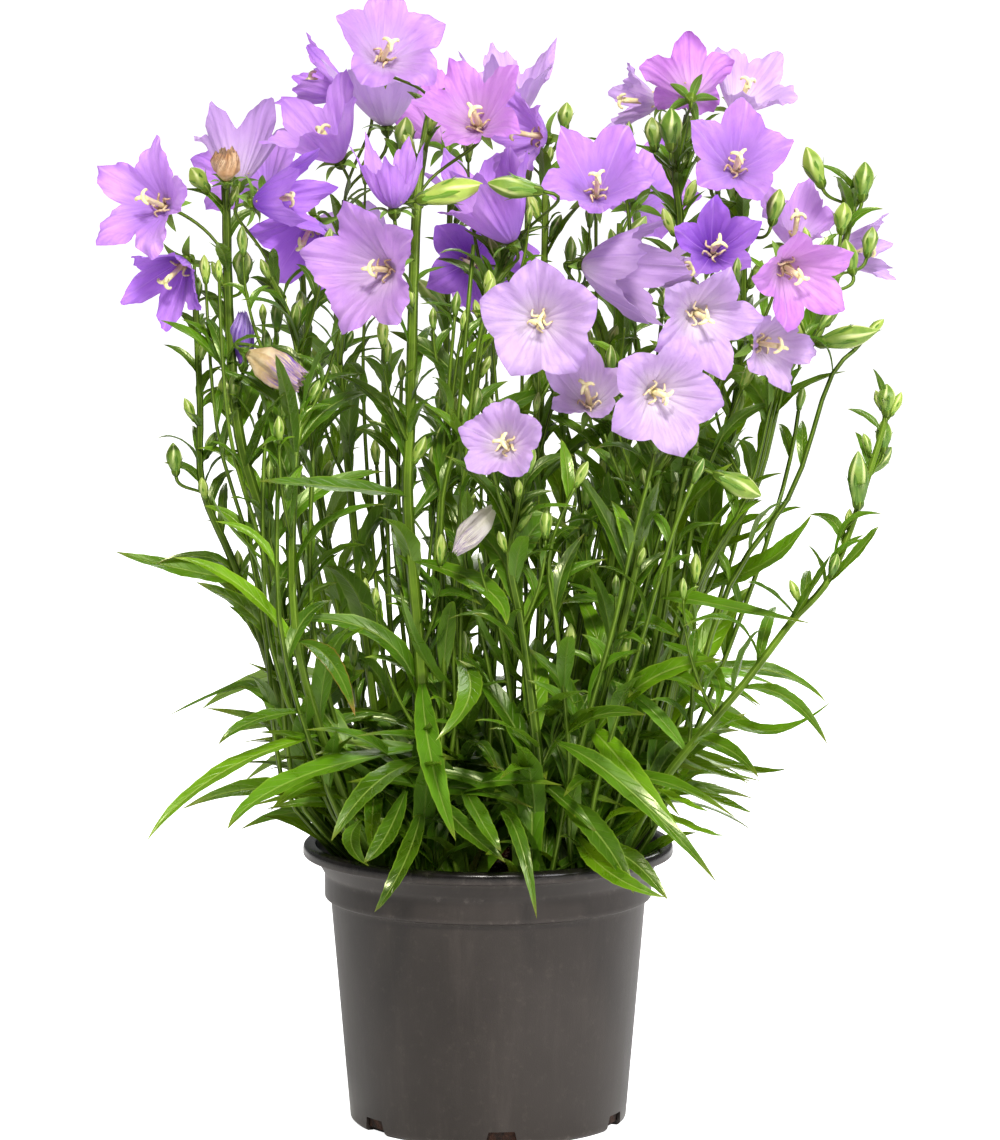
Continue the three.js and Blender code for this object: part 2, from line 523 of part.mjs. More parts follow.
// Bloom: a thin bell of five joined lobes, with its style and stigma
function bloom(key, place, facing, width, depth, open, cut, degrees) {
  const number = Number(key);
  const way = at(facing).normalize();
  const [side, other] = crossways(way);
  const roll = THREE.MathUtils.degToRad(degrees);
  const mouth = at(place).addScaledVector(way, GAP);
  const spot = (turn, radius, height) => mouth.clone().addScaledVector(way, height)
    .addScaledVector(side, radius * Math.cos(turn + roll))
    .addScaledVector(other, radius * Math.sin(turn + roll));
  const ringAt = (count, share, inner) => Array.from({ length: count }, (_, k) => {
    const turn = 2 * Math.PI * k / count;
    const fromLobe = Math.abs(((turn * LOBES / Math.PI + 1) % 2) - 1);
    const s = share * lobeReach(fromLobe, cut);
    const [radius, rise] = petalOutline(open, s);
    const [radius2, rise2] = petalOutline(open, s + 0.02);
    const slope = Math.atan2(depth * (rise2 - rise), width / 2 * (radius2 - radius));
    const wave = share === 1 ? 1.2 * Math.sin(turn * 7 + number) : 0;
    const shift = inner ? PETAL_THICKNESS : 0;
    return spot(turn, width / 2 * radius - shift * Math.sin(slope),
      depth * rise + wave + shift * Math.cos(slope));
  });
  const height = Math.min(STYLE_LENGTH, 0.8 * depth);
  const pistil = [[0.9, PETAL_THICKNESS + 0.4], [STIGMA_REACH, height]];
  return loft([
    [spot(0, 0, 0)], ringAt(5, 0.4, false), ringAt(20, 1, false), ringAt(20, 1, true), ringAt(5, 0.4, true),
    ...pistil.map(([radius, rise]) => ringRound(mouth, way, LOBES, roll, steady(radius), steady(rise))),
  ]);
}

// Calyces and blooms, each on its stalk
for (const [key, row] of Object.entries(BLOOMS)) {
  const [letter, place, facing, width, depth, open, cut, degrees, drop, color] = row;
  const way = at(facing).normalize();
  const top = at(place);
  const turn = 2 * draw(Number(key), 2);
  keep(crownOf[letter], loft([
    ...calyxRings(letter, top, way, drop, turn, [0, 0.55], 1, SEPAL_LENGTH, -2.4),
    ringRound(top, way, LOBES, turn, steady(0.9 * CALYX_RADIUS), steady(0)),
  ]), GREEN_STEM);
  keep(`bloom_${key}`, bloom(key, place, facing, width, depth, open, cut, degrees), color);
}

// Spent flowers: a limp five-fold tube that is widest past its middle
for (const [name, [letter, place, end, width, drawn, color]] of Object.entries(SPENT)) {
  const top = at(place);
  const tip = at(end);
  const way = tip.clone().sub(top).normalize();
  const length = top.distanceTo(tip);
  const calyx = calyxRings(letter, top, way, 14, 0, [0, 0.55], 0.8, 0.7 * SEPAL_LENGTH, 1);
  keep(crownOf[letter], loft([
    ...calyx, ringRound(top, way, LOBES, 0, steady(0.6 * CALYX_RADIUS), steady(0)),
  ]), GREEN_STEM);
  keep(`spent_bloom_${name}`, loft([
    ringRound(top, way, LOBES, 0, steady(0.6 * CALYX_RADIUS), steady(GAP)),
    ringRound(top, way, LOBES, 0.3, steady(0.42 * width), steady(0.3 * length)),
    ringRound(top, way, LOBES, 0.6, steady(0.5 * width), steady(0.65 * length)),
    ringRound(top, way, 2 * LOBES, 0.9, (k) => (0.5 - 0.2 * (k % 2)) * drawn * width, steady(length)),
  ]), color);
}

// The first posture of a piece that lies clear of the others is kept, else the piece is left out.
// The shape takes a posture, the room to leave round it, and whether to leave its foot off.
function keepClear(name, shape, postures, color) {
  for (const posture of postures) {
    const room = shape(posture, CLEARANCE, false);
    const end = shape(posture, CLEARANCE, true);
    const clear = isClear(name, room, false) && isClear(name, end, true);
    room.delete();
    end.delete();
    if (clear) {
      keep(name, shape(posture, 0, false), color, 0.6, true);
      return;
    }
  }
}

// Buds, each in its calyx on a stalk
function bud(letter, foot, tip, width, drop, grow, footless) {
  const way = tip.clone().sub(foot).normalize();
  const length = foot.distanceTo(tip);
  const size = width / 10;
  const turn = foot.x;
  const half = width / 2 + grow;
  const calyx = calyxRings(letter, foot, way, drop, turn, [0], size, 0.75 * width + grow, 0.55 * length);
  return loft([
    ...(footless ? calyx.slice(1) : calyx),
    ringRound(foot, way, LOBES, turn, steady(half), steady(0.45 * length)),
    [foot.clone().addScaledVector(way, length + grow)],
  ]);
}
const DEPTH_SHIFTS = [0, 5, -5, 10, -10, 15, -15, 22, -22, 30, -30, 40];
for (const [letter, foot, tip, width] of BUDS) {
  const shape = (shift, grow, footless) => bud(letter, at(foot).setY(foot[1] + shift),
    at(tip).setY(tip[1] + shift), width, 12, grow, footless);
  keepClear(crownOf[letter], shape, DEPTH_SHIFTS, GREEN_STEM);
}

const twistOf = (item) => 0.6 * (draw(item, 9) - 0.5);

// Blade of a lance-shaped leaf: a shallow V in section, through its base, middle and tip.
// It rolls about its midrib to show its upper face, to the front on the near side of the plant.
const bladeWidth = (s) => Math.sin(Math.PI * s ** 0.8) ** 0.85;
function blade(base, middle, tip, width, twist, inner, grow, footless) {
  const stations = footless ? [...inner, 1] : [0, ...inner, 1];
  const control = middle.clone().multiplyScalar(2).addScaledVector(base, -0.5).addScaledVector(tip, -0.5);
  const midrib = new THREE.QuadraticBezierCurve3(base, control, tip);
  const level = tip.clone().sub(base).cross(UP).normalize();
  const roll = twist + LEAF_ROLL * level.y * Math.sign(ROLL_DIVIDE - base.y);
  return loft(stations.map((s) => {
    const point = midrib.getPoint(s);
    const tangent = midrib.getTangent(s);
    if (s === 0 && grow === 0) return [point];
    if (s === 1) return [point.addScaledVector(tangent, grow)];
    const flat = level.clone().cross(tangent).normalize();
    const side = level.clone().multiplyScalar(Math.cos(roll)).addScaledVector(flat, Math.sin(roll));
    const lift = side.clone().cross(tangent).normalize();
    const half = width / 2 * bladeWidth(s);
    const rim = EDGE_LIFT * half;
    const spot = (reach, rise) => point.clone().addScaledVector(side, reach).addScaledVector(lift, rise);
    if (grow === 0) return [spot(-half, rim), spot(0, -BLADE_THICKNESS), spot(half, rim)];
    return [
      spot(-half - grow, rim + grow),
      spot(-half - grow, rim - grow),
      spot(0, -BLADE_THICKNESS - grow),
      spot(half + grow, rim - grow),
      spot(half + grow, rim + grow),
    ];
  }));
}

// Large leaves, each bent towards the front or the back until it lies clear
for (const [letter, height, middle, tip, width] of LEAVES) {
  const base = onStem(letter, atHeight(letter, height));
  const shape = (shift, grow, footless) => blade(base, at(middle).setY(middle[1] + 0.6 * shift),
    at(tip).setY(tip[1] + shift), width, twistOf(height), [0.3, 0.7], grow, footless);
  keepClear(crownOf[letter], shape, DEPTH_SHIFTS, GREEN_LEAF);
}

// A leaf that leaves a point at a turn and a slope, and bows down along its length
function bowedLeaf(base, turn, slope, length, bow, width, twist, inner, grow, footless) {
  const reach = (share, rise) => base.clone().add(vec(
    Math.cos(turn) * Math.cos(rise), Math.sin(turn) * Math.cos(rise), Math.sin(rise),
  ).multiplyScalar(share * length));
  return blade(base, reach(0.52, slope + bow / 2), reach(1, slope - bow / 2), width, twist, inner,
    grow, footless);
}
const TURN_SHIFTS = [0, 0.5, -0.5, 1, -1, 1.5, -1.5, 2.1, -2.1, 2.7]
  .flatMap((turn) => [[turn, 0], [turn, 0.3]]);
const GOLDEN_TURN = THREE.MathUtils.degToRad(137.5);

// Basal leaves: a rosette on each crown, fullest on the side that it faces
Object.entries(CROWNS).forEach(([name, crown], c) => {
  const base = vec(crown.at[0], crown.at[1], CROWN_TOP - 3);
  for (let k = 0; k < crown.leaves; k++) {
    const mine = 20 * c + k;
    const spread = (k - (crown.leaves - 1) / 2) * 0.62;
    const turn = THREE.MathUtils.degToRad(crown.face) + spread + 0.3 * (draw(mine, 3) - 0.5);
    const slope = 0.75 + 0.35 * draw(mine, 4);
    const length = 62 + 34 * draw(mine, 5);
    const width = 8 + 3 * draw(mine, 6);
    const shape = ([shift, rise], grow, footless) => bowedLeaf(base, turn + shift, slope + rise,
      length, 0.7, width, twistOf(mine), [0.3, 0.7], grow, footless);
    keepClear(`leafy_stem_${name}`, shape, TURN_SHIFTS, GREEN_LEAF);
  }
});

// Stem leaves: they turn round the stem as they climb, and grow shorter, narrower and steeper
const STEM_LEAVES = 3;
Object.keys(STEMS).forEach((letter, c) => {
  for (let k = 0; k < STEM_LEAVES; k++) {
    const mine = 400 + 20 * c + k;
    const share = (k + 0.6 * draw(mine, 7)) / STEM_LEAVES;
    const t = THREE.MathUtils.lerp(0.22, 0.86, share);
    const turn = k * GOLDEN_TURN + c;
    const slope = THREE.MathUtils.lerp(0.35, 1.05, share);
    const length = THREE.MathUtils.lerp(64, 26, share) * (0.85 + 0.3 * draw(mine, 8));
    const width = THREE.MathUtils.lerp(8, 4, share);
    const shape = ([shift, rise], grow, footless) => bowedLeaf(onStem(letter, t), turn + shift,
      slope + rise, length, 0.5, width, twistOf(mine), [0.22, 0.62], grow, footless);
    keepClear(crownOf[letter], shape, TURN_SHIFTS, GREEN_LEAF);
  }
});

// Fused nodes as named meshes
const plant = new THREE.Group();
for (const [name, { bodies, color, roughness }] of nodes) {
  const fused = bodies.slice(1).reduce((whole, { body }) => whole.add(body), bodies[0].body);
  const { vertProperties, triVerts } = fused.getMesh();
  const geometry = new THREE.BufferGeometry();
  geometry.setAttribute('position', new THREE.BufferAttribute(new Float32Array(vertProperties), 3));
  geometry.setIndex(new THREE.BufferAttribute(new Uint32Array(triVerts), 1));
  geometry.computeVertexNormals();
  const mesh = new THREE.Mesh(geometry, new THREE.MeshStandardMaterial({ color, roughness }));
  mesh.name = name;
  plant.add(mesh);
}

export default plant;
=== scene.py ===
import math

import bpy
import numpy as np
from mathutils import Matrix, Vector
from mathutils.bvhtree import BVHTree


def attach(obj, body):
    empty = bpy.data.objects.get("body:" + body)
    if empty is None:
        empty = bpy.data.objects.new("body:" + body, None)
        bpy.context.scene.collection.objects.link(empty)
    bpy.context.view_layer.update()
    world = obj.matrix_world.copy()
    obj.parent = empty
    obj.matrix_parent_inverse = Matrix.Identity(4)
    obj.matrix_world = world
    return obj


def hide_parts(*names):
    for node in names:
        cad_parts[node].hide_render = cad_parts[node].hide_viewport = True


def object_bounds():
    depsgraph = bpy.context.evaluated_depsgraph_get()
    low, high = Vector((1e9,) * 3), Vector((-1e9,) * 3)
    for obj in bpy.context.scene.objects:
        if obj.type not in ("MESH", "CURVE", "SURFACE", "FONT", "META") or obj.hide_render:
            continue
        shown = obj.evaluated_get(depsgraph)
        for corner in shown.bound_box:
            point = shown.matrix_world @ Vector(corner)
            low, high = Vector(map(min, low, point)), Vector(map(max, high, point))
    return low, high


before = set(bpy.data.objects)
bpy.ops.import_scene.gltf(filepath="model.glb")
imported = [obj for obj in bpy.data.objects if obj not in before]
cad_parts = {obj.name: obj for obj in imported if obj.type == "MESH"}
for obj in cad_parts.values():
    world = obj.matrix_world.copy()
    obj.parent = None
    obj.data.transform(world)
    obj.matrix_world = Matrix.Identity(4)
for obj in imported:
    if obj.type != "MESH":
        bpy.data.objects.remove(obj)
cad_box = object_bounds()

# View: the camera stands 2.5 m from the plant, a little above its flowers, and looks 7 degrees down.
# The studio is white, with a bright lamp high in front and softer ones on the right and behind.

LENS = 173.2
CAMERA_AT = (0.0055, -2.5, 0.5736)
CAMERA_TILT = math.radians(82.76)
STUDIO_GLOW = 0.19
FLOOR_REACH = 40

camera = bpy.data.objects.new("camera", bpy.data.cameras.new("camera"))
camera.data.lens = LENS
camera.location = CAMERA_AT
camera.rotation_euler = (CAMERA_TILT, 0, 0)
bpy.context.scene.collection.objects.link(camera)
bpy.context.scene.camera = camera
bpy.context.scene.view_settings.view_transform = "Standard"


def rgb(code):
    """Linear colour from a hex code for the colour seen on a screen."""
    parts = [int(code[i:i + 2], 16) / 255 for i in (0, 2, 4)]
    return [c / 12.92 if c < 0.04 else ((c + 0.055) / 1.055) ** 2.4 for c in parts] + [1]


def join(tree, value, socket):
    """Sets an input to a number or a colour, or links it to an output or to a node's first output."""
    if isinstance(value, bpy.types.Node):
        value = value.outputs[0]
    if isinstance(value, bpy.types.NodeSocket):
        tree.links.new(value, socket)
    elif value is not None:
        socket.default_value = value


def put(tree, kind, *values, **settings):
    """A shader node with its settings, then its inputs in order: numbers, colours or other outputs."""
    node = tree.nodes.new("ShaderNode" + kind)
    for name, value in settings.items():
        setattr(node, name, value)
    for socket, value in zip(node.inputs, values):
        join(tree, value, socket)
    return node


def blank_material(name):
    """A material with its output node and nothing else."""
    material = bpy.data.materials.new(name)
    material.use_nodes = True
    material.node_tree.nodes.clear()
    return material, material.node_tree, put(material.node_tree, "OutputMaterial")


def coat(tree, output, colour, normal, glow=None, share=0, **settings):
    """The surface: its colour, bump and gloss, and the share of the light that passes through it."""
    shader = put(tree, "BsdfPrincipled", colour)
    join(tree, normal, shader.inputs["Normal"])
    for label, value in settings.items():
        join(tree, value, shader.inputs[label.replace("_", " ")])
    if share:
        shader = put(tree, "MixShader", share, shader, put(tree, "BsdfTranslucent", rgb(glow)))
    join(tree, shader, output.inputs[0])


def studio_lamp(name, place, aim, size, watts, tint):
    """A square soft lamp that is aimed at a point."""
    lamp = bpy.data.objects.new(name, bpy.data.lights.new(name, "AREA"))
    lamp.data.size = size
    lamp.data.energy = watts
    lamp.data.color = rgb(tint)[:3]
    lamp.location = place
    lamp.rotation_euler = (Vector(aim) - Vector(place)).to_track_quat("-Z", "Y").to_euler()
    bpy.context.scene.collection.objects.link(lamp)


studio_lamp("key_lamp", (0.05, -1.9, 2.1), (0, 0, 0.3), 0.42, 82, "fffaf2")
studio_lamp("fill_lamp", (1.7, -1.5, 1.3), (0, 0, 0.25), 0.9, 43, "fcfaff")
studio_lamp("back_lamp", (0.5, 1.9, 1.7), (0, 0, 0.35), 1.2, 34, "ffffff")

world = bpy.data.worlds.new("studio")
world.use_nodes = True
backdrop = world.node_tree.nodes["Background"]
backdrop.inputs["Color"].default_value = (1, 1, 1, 1)
seen = put(world.node_tree, "LightPath").outputs["Is Camera Ray"]
join(world.node_tree, put(world.node_tree, "MapRange", seen, 0.0, 1.0, STUDIO_GLOW, 1.0), backdrop.inputs["Strength"])
bpy.context.scene.world = world

floor_mesh = bpy.data.meshes.new("floor")
floor_mesh.from_pydata([(x * FLOOR_REACH, y * FLOOR_REACH, 0) for x, y in ((-1, -1), (1, -1), (1, 1), (-1, 1))], [],
                       [(0, 1, 2, 3)])
floor = bpy.data.objects.new("floor", floor_mesh)
bpy.context.scene.collection.objects.link(floor)
paper, tree, output = blank_material("white_paper")
seen = put(tree, "LightPath").outputs["Is Camera Ray"]
glare = put(tree, "MapRange", seen, 0.0, 1.0, 0.0, 1.0)
coat(tree, output, rgb("f6f6f6"), None, Roughness=0.9, Emission_Color=(1, 1, 1, 1), Emission_Strength=glare)
floor.data.materials.append(paper)

# Nursery pot: one thin shell of recycled polypropylene, injection moulded, with a stepped collar under
# a rolled lip so that empty pots nest. Notches under the foot let water out. Its edges are lighter in a
# narrow band, partly wear and partly painted highlight.

POT_SIDES = 160
NOTCHES = 6
NOTCH_OUTLINE = [(-8, -1), (8, -1), (6, 7), (-6, 7)]  # across, height
FOOT_RADIUS = 64
SHADED_RIM_HEIGHT = 127
POT_HEIGHT = 130
WORN_AND_LIT_BAND = 1.5
SHARP_CORNER = math.radians(38)
NOTCH_TURN = math.radians(5.6)
POT_OUTLINE = [  # radius, height, rounding; up the outside and down the inside
    (3, 0, 0), (62.6, 0, 0.4), (64, 1.4, 0.5), (72.8, 104, 0.5), (75.6, 104.8, 0.7), (75.6, 116, 0.9),
    (80, 123.6, 0.7), (85.5, 124.6, 0.8), (85.5, 128.6, 1.3), (84, 130, 1.2), (80, 130, 1.1),
    (78.5, 124, 1.2), (74.1, 115.6, 0.8), (74.1, 105.4, 0.5), (71.3, 104.6, 0.5), (62.5, 1.8, 1), (3, 1.8, 0),
]


class Shape:
    """Surfaces in millimetres, gathered for one piece. Each point carries three marks for its finish."""

    def __init__(self):
        self.points, self.marks, self.faces, self.count = [], [], [], 0

    def add(self, points, faces, finish=0, marks=(0, 0, 0), smooth=True):
        """Adds points, sets of faces between them, and the number of their finish in the piece's list."""
        points = np.asarray(points, float).reshape(-1, 3)
        self.points.append(points)
        self.marks.append(np.broadcast_to(np.asarray(marks, float).reshape(-1, 3), points.shape))
        for some in faces:
            self.faces.append((np.asarray(some, int) + self.count, finish, smooth))
        self.count += len(points)


def grid(rows, columns, closed=False):
    """Four-sided faces between rows of points, where closed rows run round to their start."""
    i, j = np.meshgrid(np.arange(rows - 1), np.arange(columns if closed else columns - 1), indexing="ij")
    k = (j + 1) % columns
    corners = [i * columns + j, i * columns + k, (i + 1) * columns + k, (i + 1) * columns + j]
    return np.stack(corners, -1).reshape(-1, 4)


def end_caps(rows, columns):
    """The two flat faces that close a body made of rings."""
    return [[np.arange(columns)[::-1]], [np.arange(columns) + (rows - 1) * columns]]


def full_turn(steps):
    """Even angles round a circle."""
    return 2 * math.pi * np.arange(steps) / steps


def heading(turn):
    """The level direction at an angle."""
    return np.array([math.cos(turn), math.sin(turn), 0])


def build_mesh(name, shape, materials):
    """The shape as a mesh in metres."""
    mesh = bpy.data.meshes.new(name)
    points = np.concatenate(shape.points) * 0.001
    sizes = np.concatenate([np.full(len(f), f.shape[1]) for f, _, _ in shape.faces])
    mesh.vertices.add(len(points))
    mesh.vertices.foreach_set("co", points.ravel())
    mesh.loops.add(int(sizes.sum()))
    mesh.loops.foreach_set("vertex_index", np.concatenate([f.ravel() for f, _, _ in shape.faces]))
    mesh.polygons.add(len(sizes))
    mesh.polygons.foreach_set("loop_start", np.cumsum(sizes) - sizes)
    mesh.polygons.foreach_set("material_index", np.concatenate([np.full(len(f), m) for f, m, _ in shape.faces]))
    mesh.update(calc_edges=True)
    mesh.polygons.foreach_set("use_smooth", np.concatenate([np.full(len(f), s) for f, _, s in shape.faces]))
    marks = mesh.attributes.new("marks", "FLOAT_VECTOR", "POINT")
    marks.data.foreach_set("vector", np.concatenate(shape.marks).ravel())
    for material in materials:
        mesh.materials.append(material)
    mesh.validate()
    return mesh


def add_piece(name, shape, materials, slot, *nodes):
    """The shape as a piece that rides on the plant and stands for its plain nodes."""
    piece = bpy.data.objects.new(name, build_mesh(name, shape, materials))
    bpy.context.scene.collection.objects.link(piece)
    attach(piece, "root")
    if nodes:
        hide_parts(*nodes)
    return piece


def shader_group(name, inputs, outputs):
    """A node group with named sockets, given as label, type and start value, or label and type."""
    group = bpy.data.node_groups.new(name, "ShaderNodeTree")
    for label, kind, value in inputs:
        group.interface.new_socket(label, in_out="INPUT", socket_type="NodeSocket" + kind).default_value = value
    for label, kind in outputs:
        group.interface.new_socket(label, in_out="OUTPUT", socket_type="NodeSocket" + kind)
    return group, group.nodes.new("NodeGroupInput").outputs, group.nodes.new("NodeGroupOutput").inputs


def maths(tree, operation, *values, clamp=False):
    """The result of one sum on numbers or other outputs."""
    return put(tree, "Math", *values, operation=operation, use_clamp=clamp).outputs[0]


def times(tree, *values, **settings):
    """The product of two numbers or outputs."""
    return maths(tree, "MULTIPLY", *values, **settings)


def plus(tree, *values, **settings):
    """The sum of two numbers or outputs."""
    return maths(tree, "ADD", *values, **settings)


def between(tree, value, low, high):
    """0 below one bound and 1 above the other, with a soft change between them."""
    return put(tree, "MapRange", value, low, high, 0.0, 1.0, interpolation_type="SMOOTHSTEP").outputs[0]


def mixed(tree, share, first, second):
    """The first colour, with a share of the second laid over it."""
    node = put(tree, "Mix", data_type="RGBA")
    for number, value in ((0, share), (6, first), (7, second)):
        join(tree, value, node.inputs[number])
    return node.outputs[2]


def marked_material(name):
    """A blank material with the three marks that each point of a shape carries."""
    material, tree, output = blank_material(name)
    marks = put(tree, "Attribute", attribute_name="marks").outputs["Vector"]
    return material, tree, output, put(tree, "SeparateXYZ", marks).outputs


# Mottled colour: two tones in soft cloudy patches, shifted by a tone that each leaf, petal or chip has.
mottle, given, found = shader_group("mottled_colour", [
    ("Dark", "Color", (0, 0, 0, 1)), ("Light", "Color", (1, 1, 1, 1)), ("Scale", "Float", 40.0),
    ("Patches", "Float", 0.5), ("Tone", "Float", 0.5)], [("Color", "Color"), ("Patch", "Float")])
place = put(mottle, "TexCoord").outputs["Object"]
cloud = put(mottle, "TexNoise", place, None, given["Scale"], 4.0, 0.6, noise_dimensions="3D").outputs[0]
patch = between(mottle, cloud, 0.3, 0.7)
part = times(mottle, patch, given["Patches"])
rest = times(mottle, given["Tone"], maths(mottle, "SUBTRACT", 1.0, given["Patches"]))
share = plus(mottle, part, rest, clamp=True)
mottle.links.new(mixed(mottle, share, given["Dark"], given["Light"]), found["Color"])
mottle.links.new(patch, found["Patch"])

# Fine grain: a shallow bump that breaks up the gloss of a surface.
grain, given, found = shader_group("fine_grain", [
    ("Scale", "Float", 900.0), ("Strength", "Float", 0.3), ("Depth", "Float", 0.0002)], [("Normal", "Vector")])
place = put(grain, "TexCoord").outputs["Object"]
speck = put(grain, "TexNoise", place, None, given["Scale"], 3.0, 0.6).outputs[0]
join(grain, put(grain, "Bump", given["Strength"], given["Depth"], None, speck), found["Normal"])


def eased(outline, steps=4):
    """The outline with each corner rounded, and 1 beside each point of a corner."""
    line = []
    for i, (radius, height, size) in enumerate(outline):
        here = np.array([radius, height])
        if size == 0:
            line.append((*here, 0))
            continue
        ends = [np.array(outline[i + k][:2]) for k in (-1, 1)]
        cut = [here + (end - here) * min(0.45, size / np.linalg.norm(end - here)) for end in ends]
        for u in np.linspace(0, 1, steps):
            line.append((*((1 - u) ** 2 * cut[0] + 2 * u * (1 - u) * here + u * u * cut[1]), 1))
    return np.array(line)


def with_bare_walls(line, edge_band):
    """The outline with the marks of its corners kept to a narrow band on each wall."""
    full = [line[0]]
    for start, end in zip(line, line[1:]):
        run = np.hypot(*(end - start)[:2])
        for share in (edge_band / run, 1 - edge_band / run) if run > 3 * edge_band else ():
            full.append([*(start + share * (end - start))[:2], 0])
        full.append(end)
    return np.array(full)


line = with_bare_walls(eased(POT_OUTLINE), WORN_AND_LIT_BAND)
turns = full_turn(POT_SIDES)
lathe = np.stack([line[:, 0, None] * np.cos(turns), line[:, 0, None] * np.sin(turns),
                  np.repeat(line[:, 1, None], POT_SIDES, 1)], -1)
shape = Shape()
shape.add(lathe, [grid(len(line), POT_SIDES, True), *end_caps(len(line), POT_SIDES)])

cutters = Shape()
for i in range(NOTCHES):
    out = heading(-math.pi / 2 + NOTCH_TURN + 2 * math.pi * i / NOTCHES)
    across = np.array([-out[1], out[0], 0])
    corners = [out * (FOOT_RADIUS + reach) + across * shift + np.array([0, 0, height])
               for reach in (-5, 6) for shift, height in NOTCH_OUTLINE]
    cutters.add(corners, [[(0, 3, 2, 1), (4, 5, 6, 7), (0, 1, 5, 4), (1, 2, 6, 5), (2, 3, 7, 6), (3, 0, 4, 7)]],
                smooth=False)

plastic, tree, output, marked = marked_material("pot_plastic")
tone = put(tree, "Group", rgb("201b18"), rgb("322d2a"), 9.0, 0.7, marked["Z"], node_tree=mottle)
place = put(tree, "TexCoord").outputs["Object"]
smear = put(tree, "Mapping", place, None, None, (1, 1, 0.12)).outputs[0]
streaks = put(tree, "TexNoise", smear, None, 60.0, 5.0, 0.7).outputs[0]
scuffs = between(tree, put(tree, "TexNoise", place, None, 210.0, 6.0, 0.75).outputs[0], 0.52, 0.75)
body = mixed(tree, times(tree, between(tree, streaks, 0.45, 0.8), 0.14), tone, rgb("5f5752"))
# Painted shade: the rim's top and the inner wall just under it are near black, for the shade inside the pot's rim.
body = mixed(tree, times(tree, marked["Y"], 0.85), body, rgb("060505"))
# Lighter corners in a narrow band: wear, and a painted highlight along the pot's steps and edges.
wear_and_highlight = times(tree, marked["X"], plus(tree, 0.15, scuffs), clamp=True)
wear_and_highlight = times(tree, wear_and_highlight, maths(tree, "SUBTRACT", 1.0, times(tree, marked["Y"], 0.85)))
body = mixed(tree, times(tree, wear_and_highlight, 0.22), body, rgb("857d78"))
body = mixed(tree, times(tree, scuffs, 0.05), body, rgb("8a7f74"))
rough = plus(tree, times(tree, streaks, 0.3), 0.24)
rough = maths(tree, "SUBTRACT", rough, times(tree, marked["Y"], 0.16))
skin = put(tree, "Group", 1400.0, 0.25, 0.0002, node_tree=grain)
coat(tree, output, body, skin, Roughness=rough, Specular_IOR_Level=0.34)

pot = add_piece("nursery_pot", shape, [plastic], "pot", "pot")
cutter = bpy.data.objects.new("notch_cutters", build_mesh("notch_cutters", cutters, [plastic]))
bpy.context.scene.collection.objects.link(cutter)
cut = pot.modifiers.new("notches", "BOOLEAN")
cut.object = cutter
cut.solver = "EXACT"
bpy.context.view_layer.update()
carved = bpy.data.meshes.new_from_object(pot.evaluated_get(bpy.context.evaluated_depsgraph_get()))
pot.modifiers.clear()
pot.data = carved
bpy.data.objects.remove(cutter)
carved.set_sharp_from_angle(angle=SHARP_CORNER)
# The cut clears the marks, so each point takes them from the outline: its corner, the lip's top that is painted dark
# as shade, its height.
x, y, z = np.array([vertex.co for vertex in carved.vertices]).T * 1000
from_outline = np.hypot(np.hypot(x, y)[:, None] - line[:, 0], z[:, None] - line[:, 1])
near = line[from_outline.argmin(1)]
marks = np.stack([near[:, 2], near[:, 1] > SHADED_RIM_HEIGHT, z / POT_HEIGHT], -1)
carved.attributes["marks"].data.foreach_set("vector", marks.ravel())

# Potting mix: dark peat with reddish bark chips and pale root fibres, pressed into the pot to below the lip.
# Its top is loose and lumpy, and the chips lie half sunk in it, except where a crown stands.

MIX_TOP = 113
MIX_SIDES = 150
# The mix's bottom and walls, seen only through the notches, take the darkest peat tone: painted shade for the dark
# inside of the pot's foot.
SHADED_WALL_TONE, TOP_TONE = 0, 0.4
CHIPS = 1500
CHIP_REACH = 71
FIBRES = 150
FIBRE_REACH = 68
WALL_REACH = 73.2
CROWN_ROOM = 7
CROWNS = {  # place, its stems, the number of leaves in its rosette and the way they face
    "left": ((-56, -8), "ab", 4, 200),
    "left_front": ((-47, -31), "c", 4, 235),
    "left_back": ((-42, 24), "eq", 4, 150),
    "middle_left": ((-30, -36), "d", 4, 250),
    "middle": ((-8, -28), "f", 3, 260),
    "middle_right": ((18, -12), "gi", 3, 280),
    "front": ((20, -54), "h", 4, 270),
    "right_front": ((42, -42), "jl", 5, 300),
    "right": ((57, -14), "no", 4, 340),
    "right_back": ((52, 18), "km", 4, 20),
    "back_left": ((-8, 36), "r", 4, 110),
    "back_right": ((22, 46), "s", 4, 70),
}


def draw(a, b):
    """A steady draw from 0 to 1 for item a, use b. Each kind of leaf and bud has its own run of item numbers."""
    value = math.sin(a * 127.1 + b * 311.7) * 43758.5453
    return value - math.floor(value)


def lumps(x, y):
    """Height of the loose top over its mean level."""
    rolls = np.sin(x * 0.21 + 1.3 * np.sin(y * 0.13)) * np.cos(y * 0.19 - 0.8 * np.sin(x * 0.11))
    crumbs = np.sin(x * 0.93 + 2.1 * np.sin(y * 0.71)) * np.sin(y * 0.87 + 1.7 * np.sin(x * 0.64))
    return 1.1 * rolls + 0.7 * crumbs


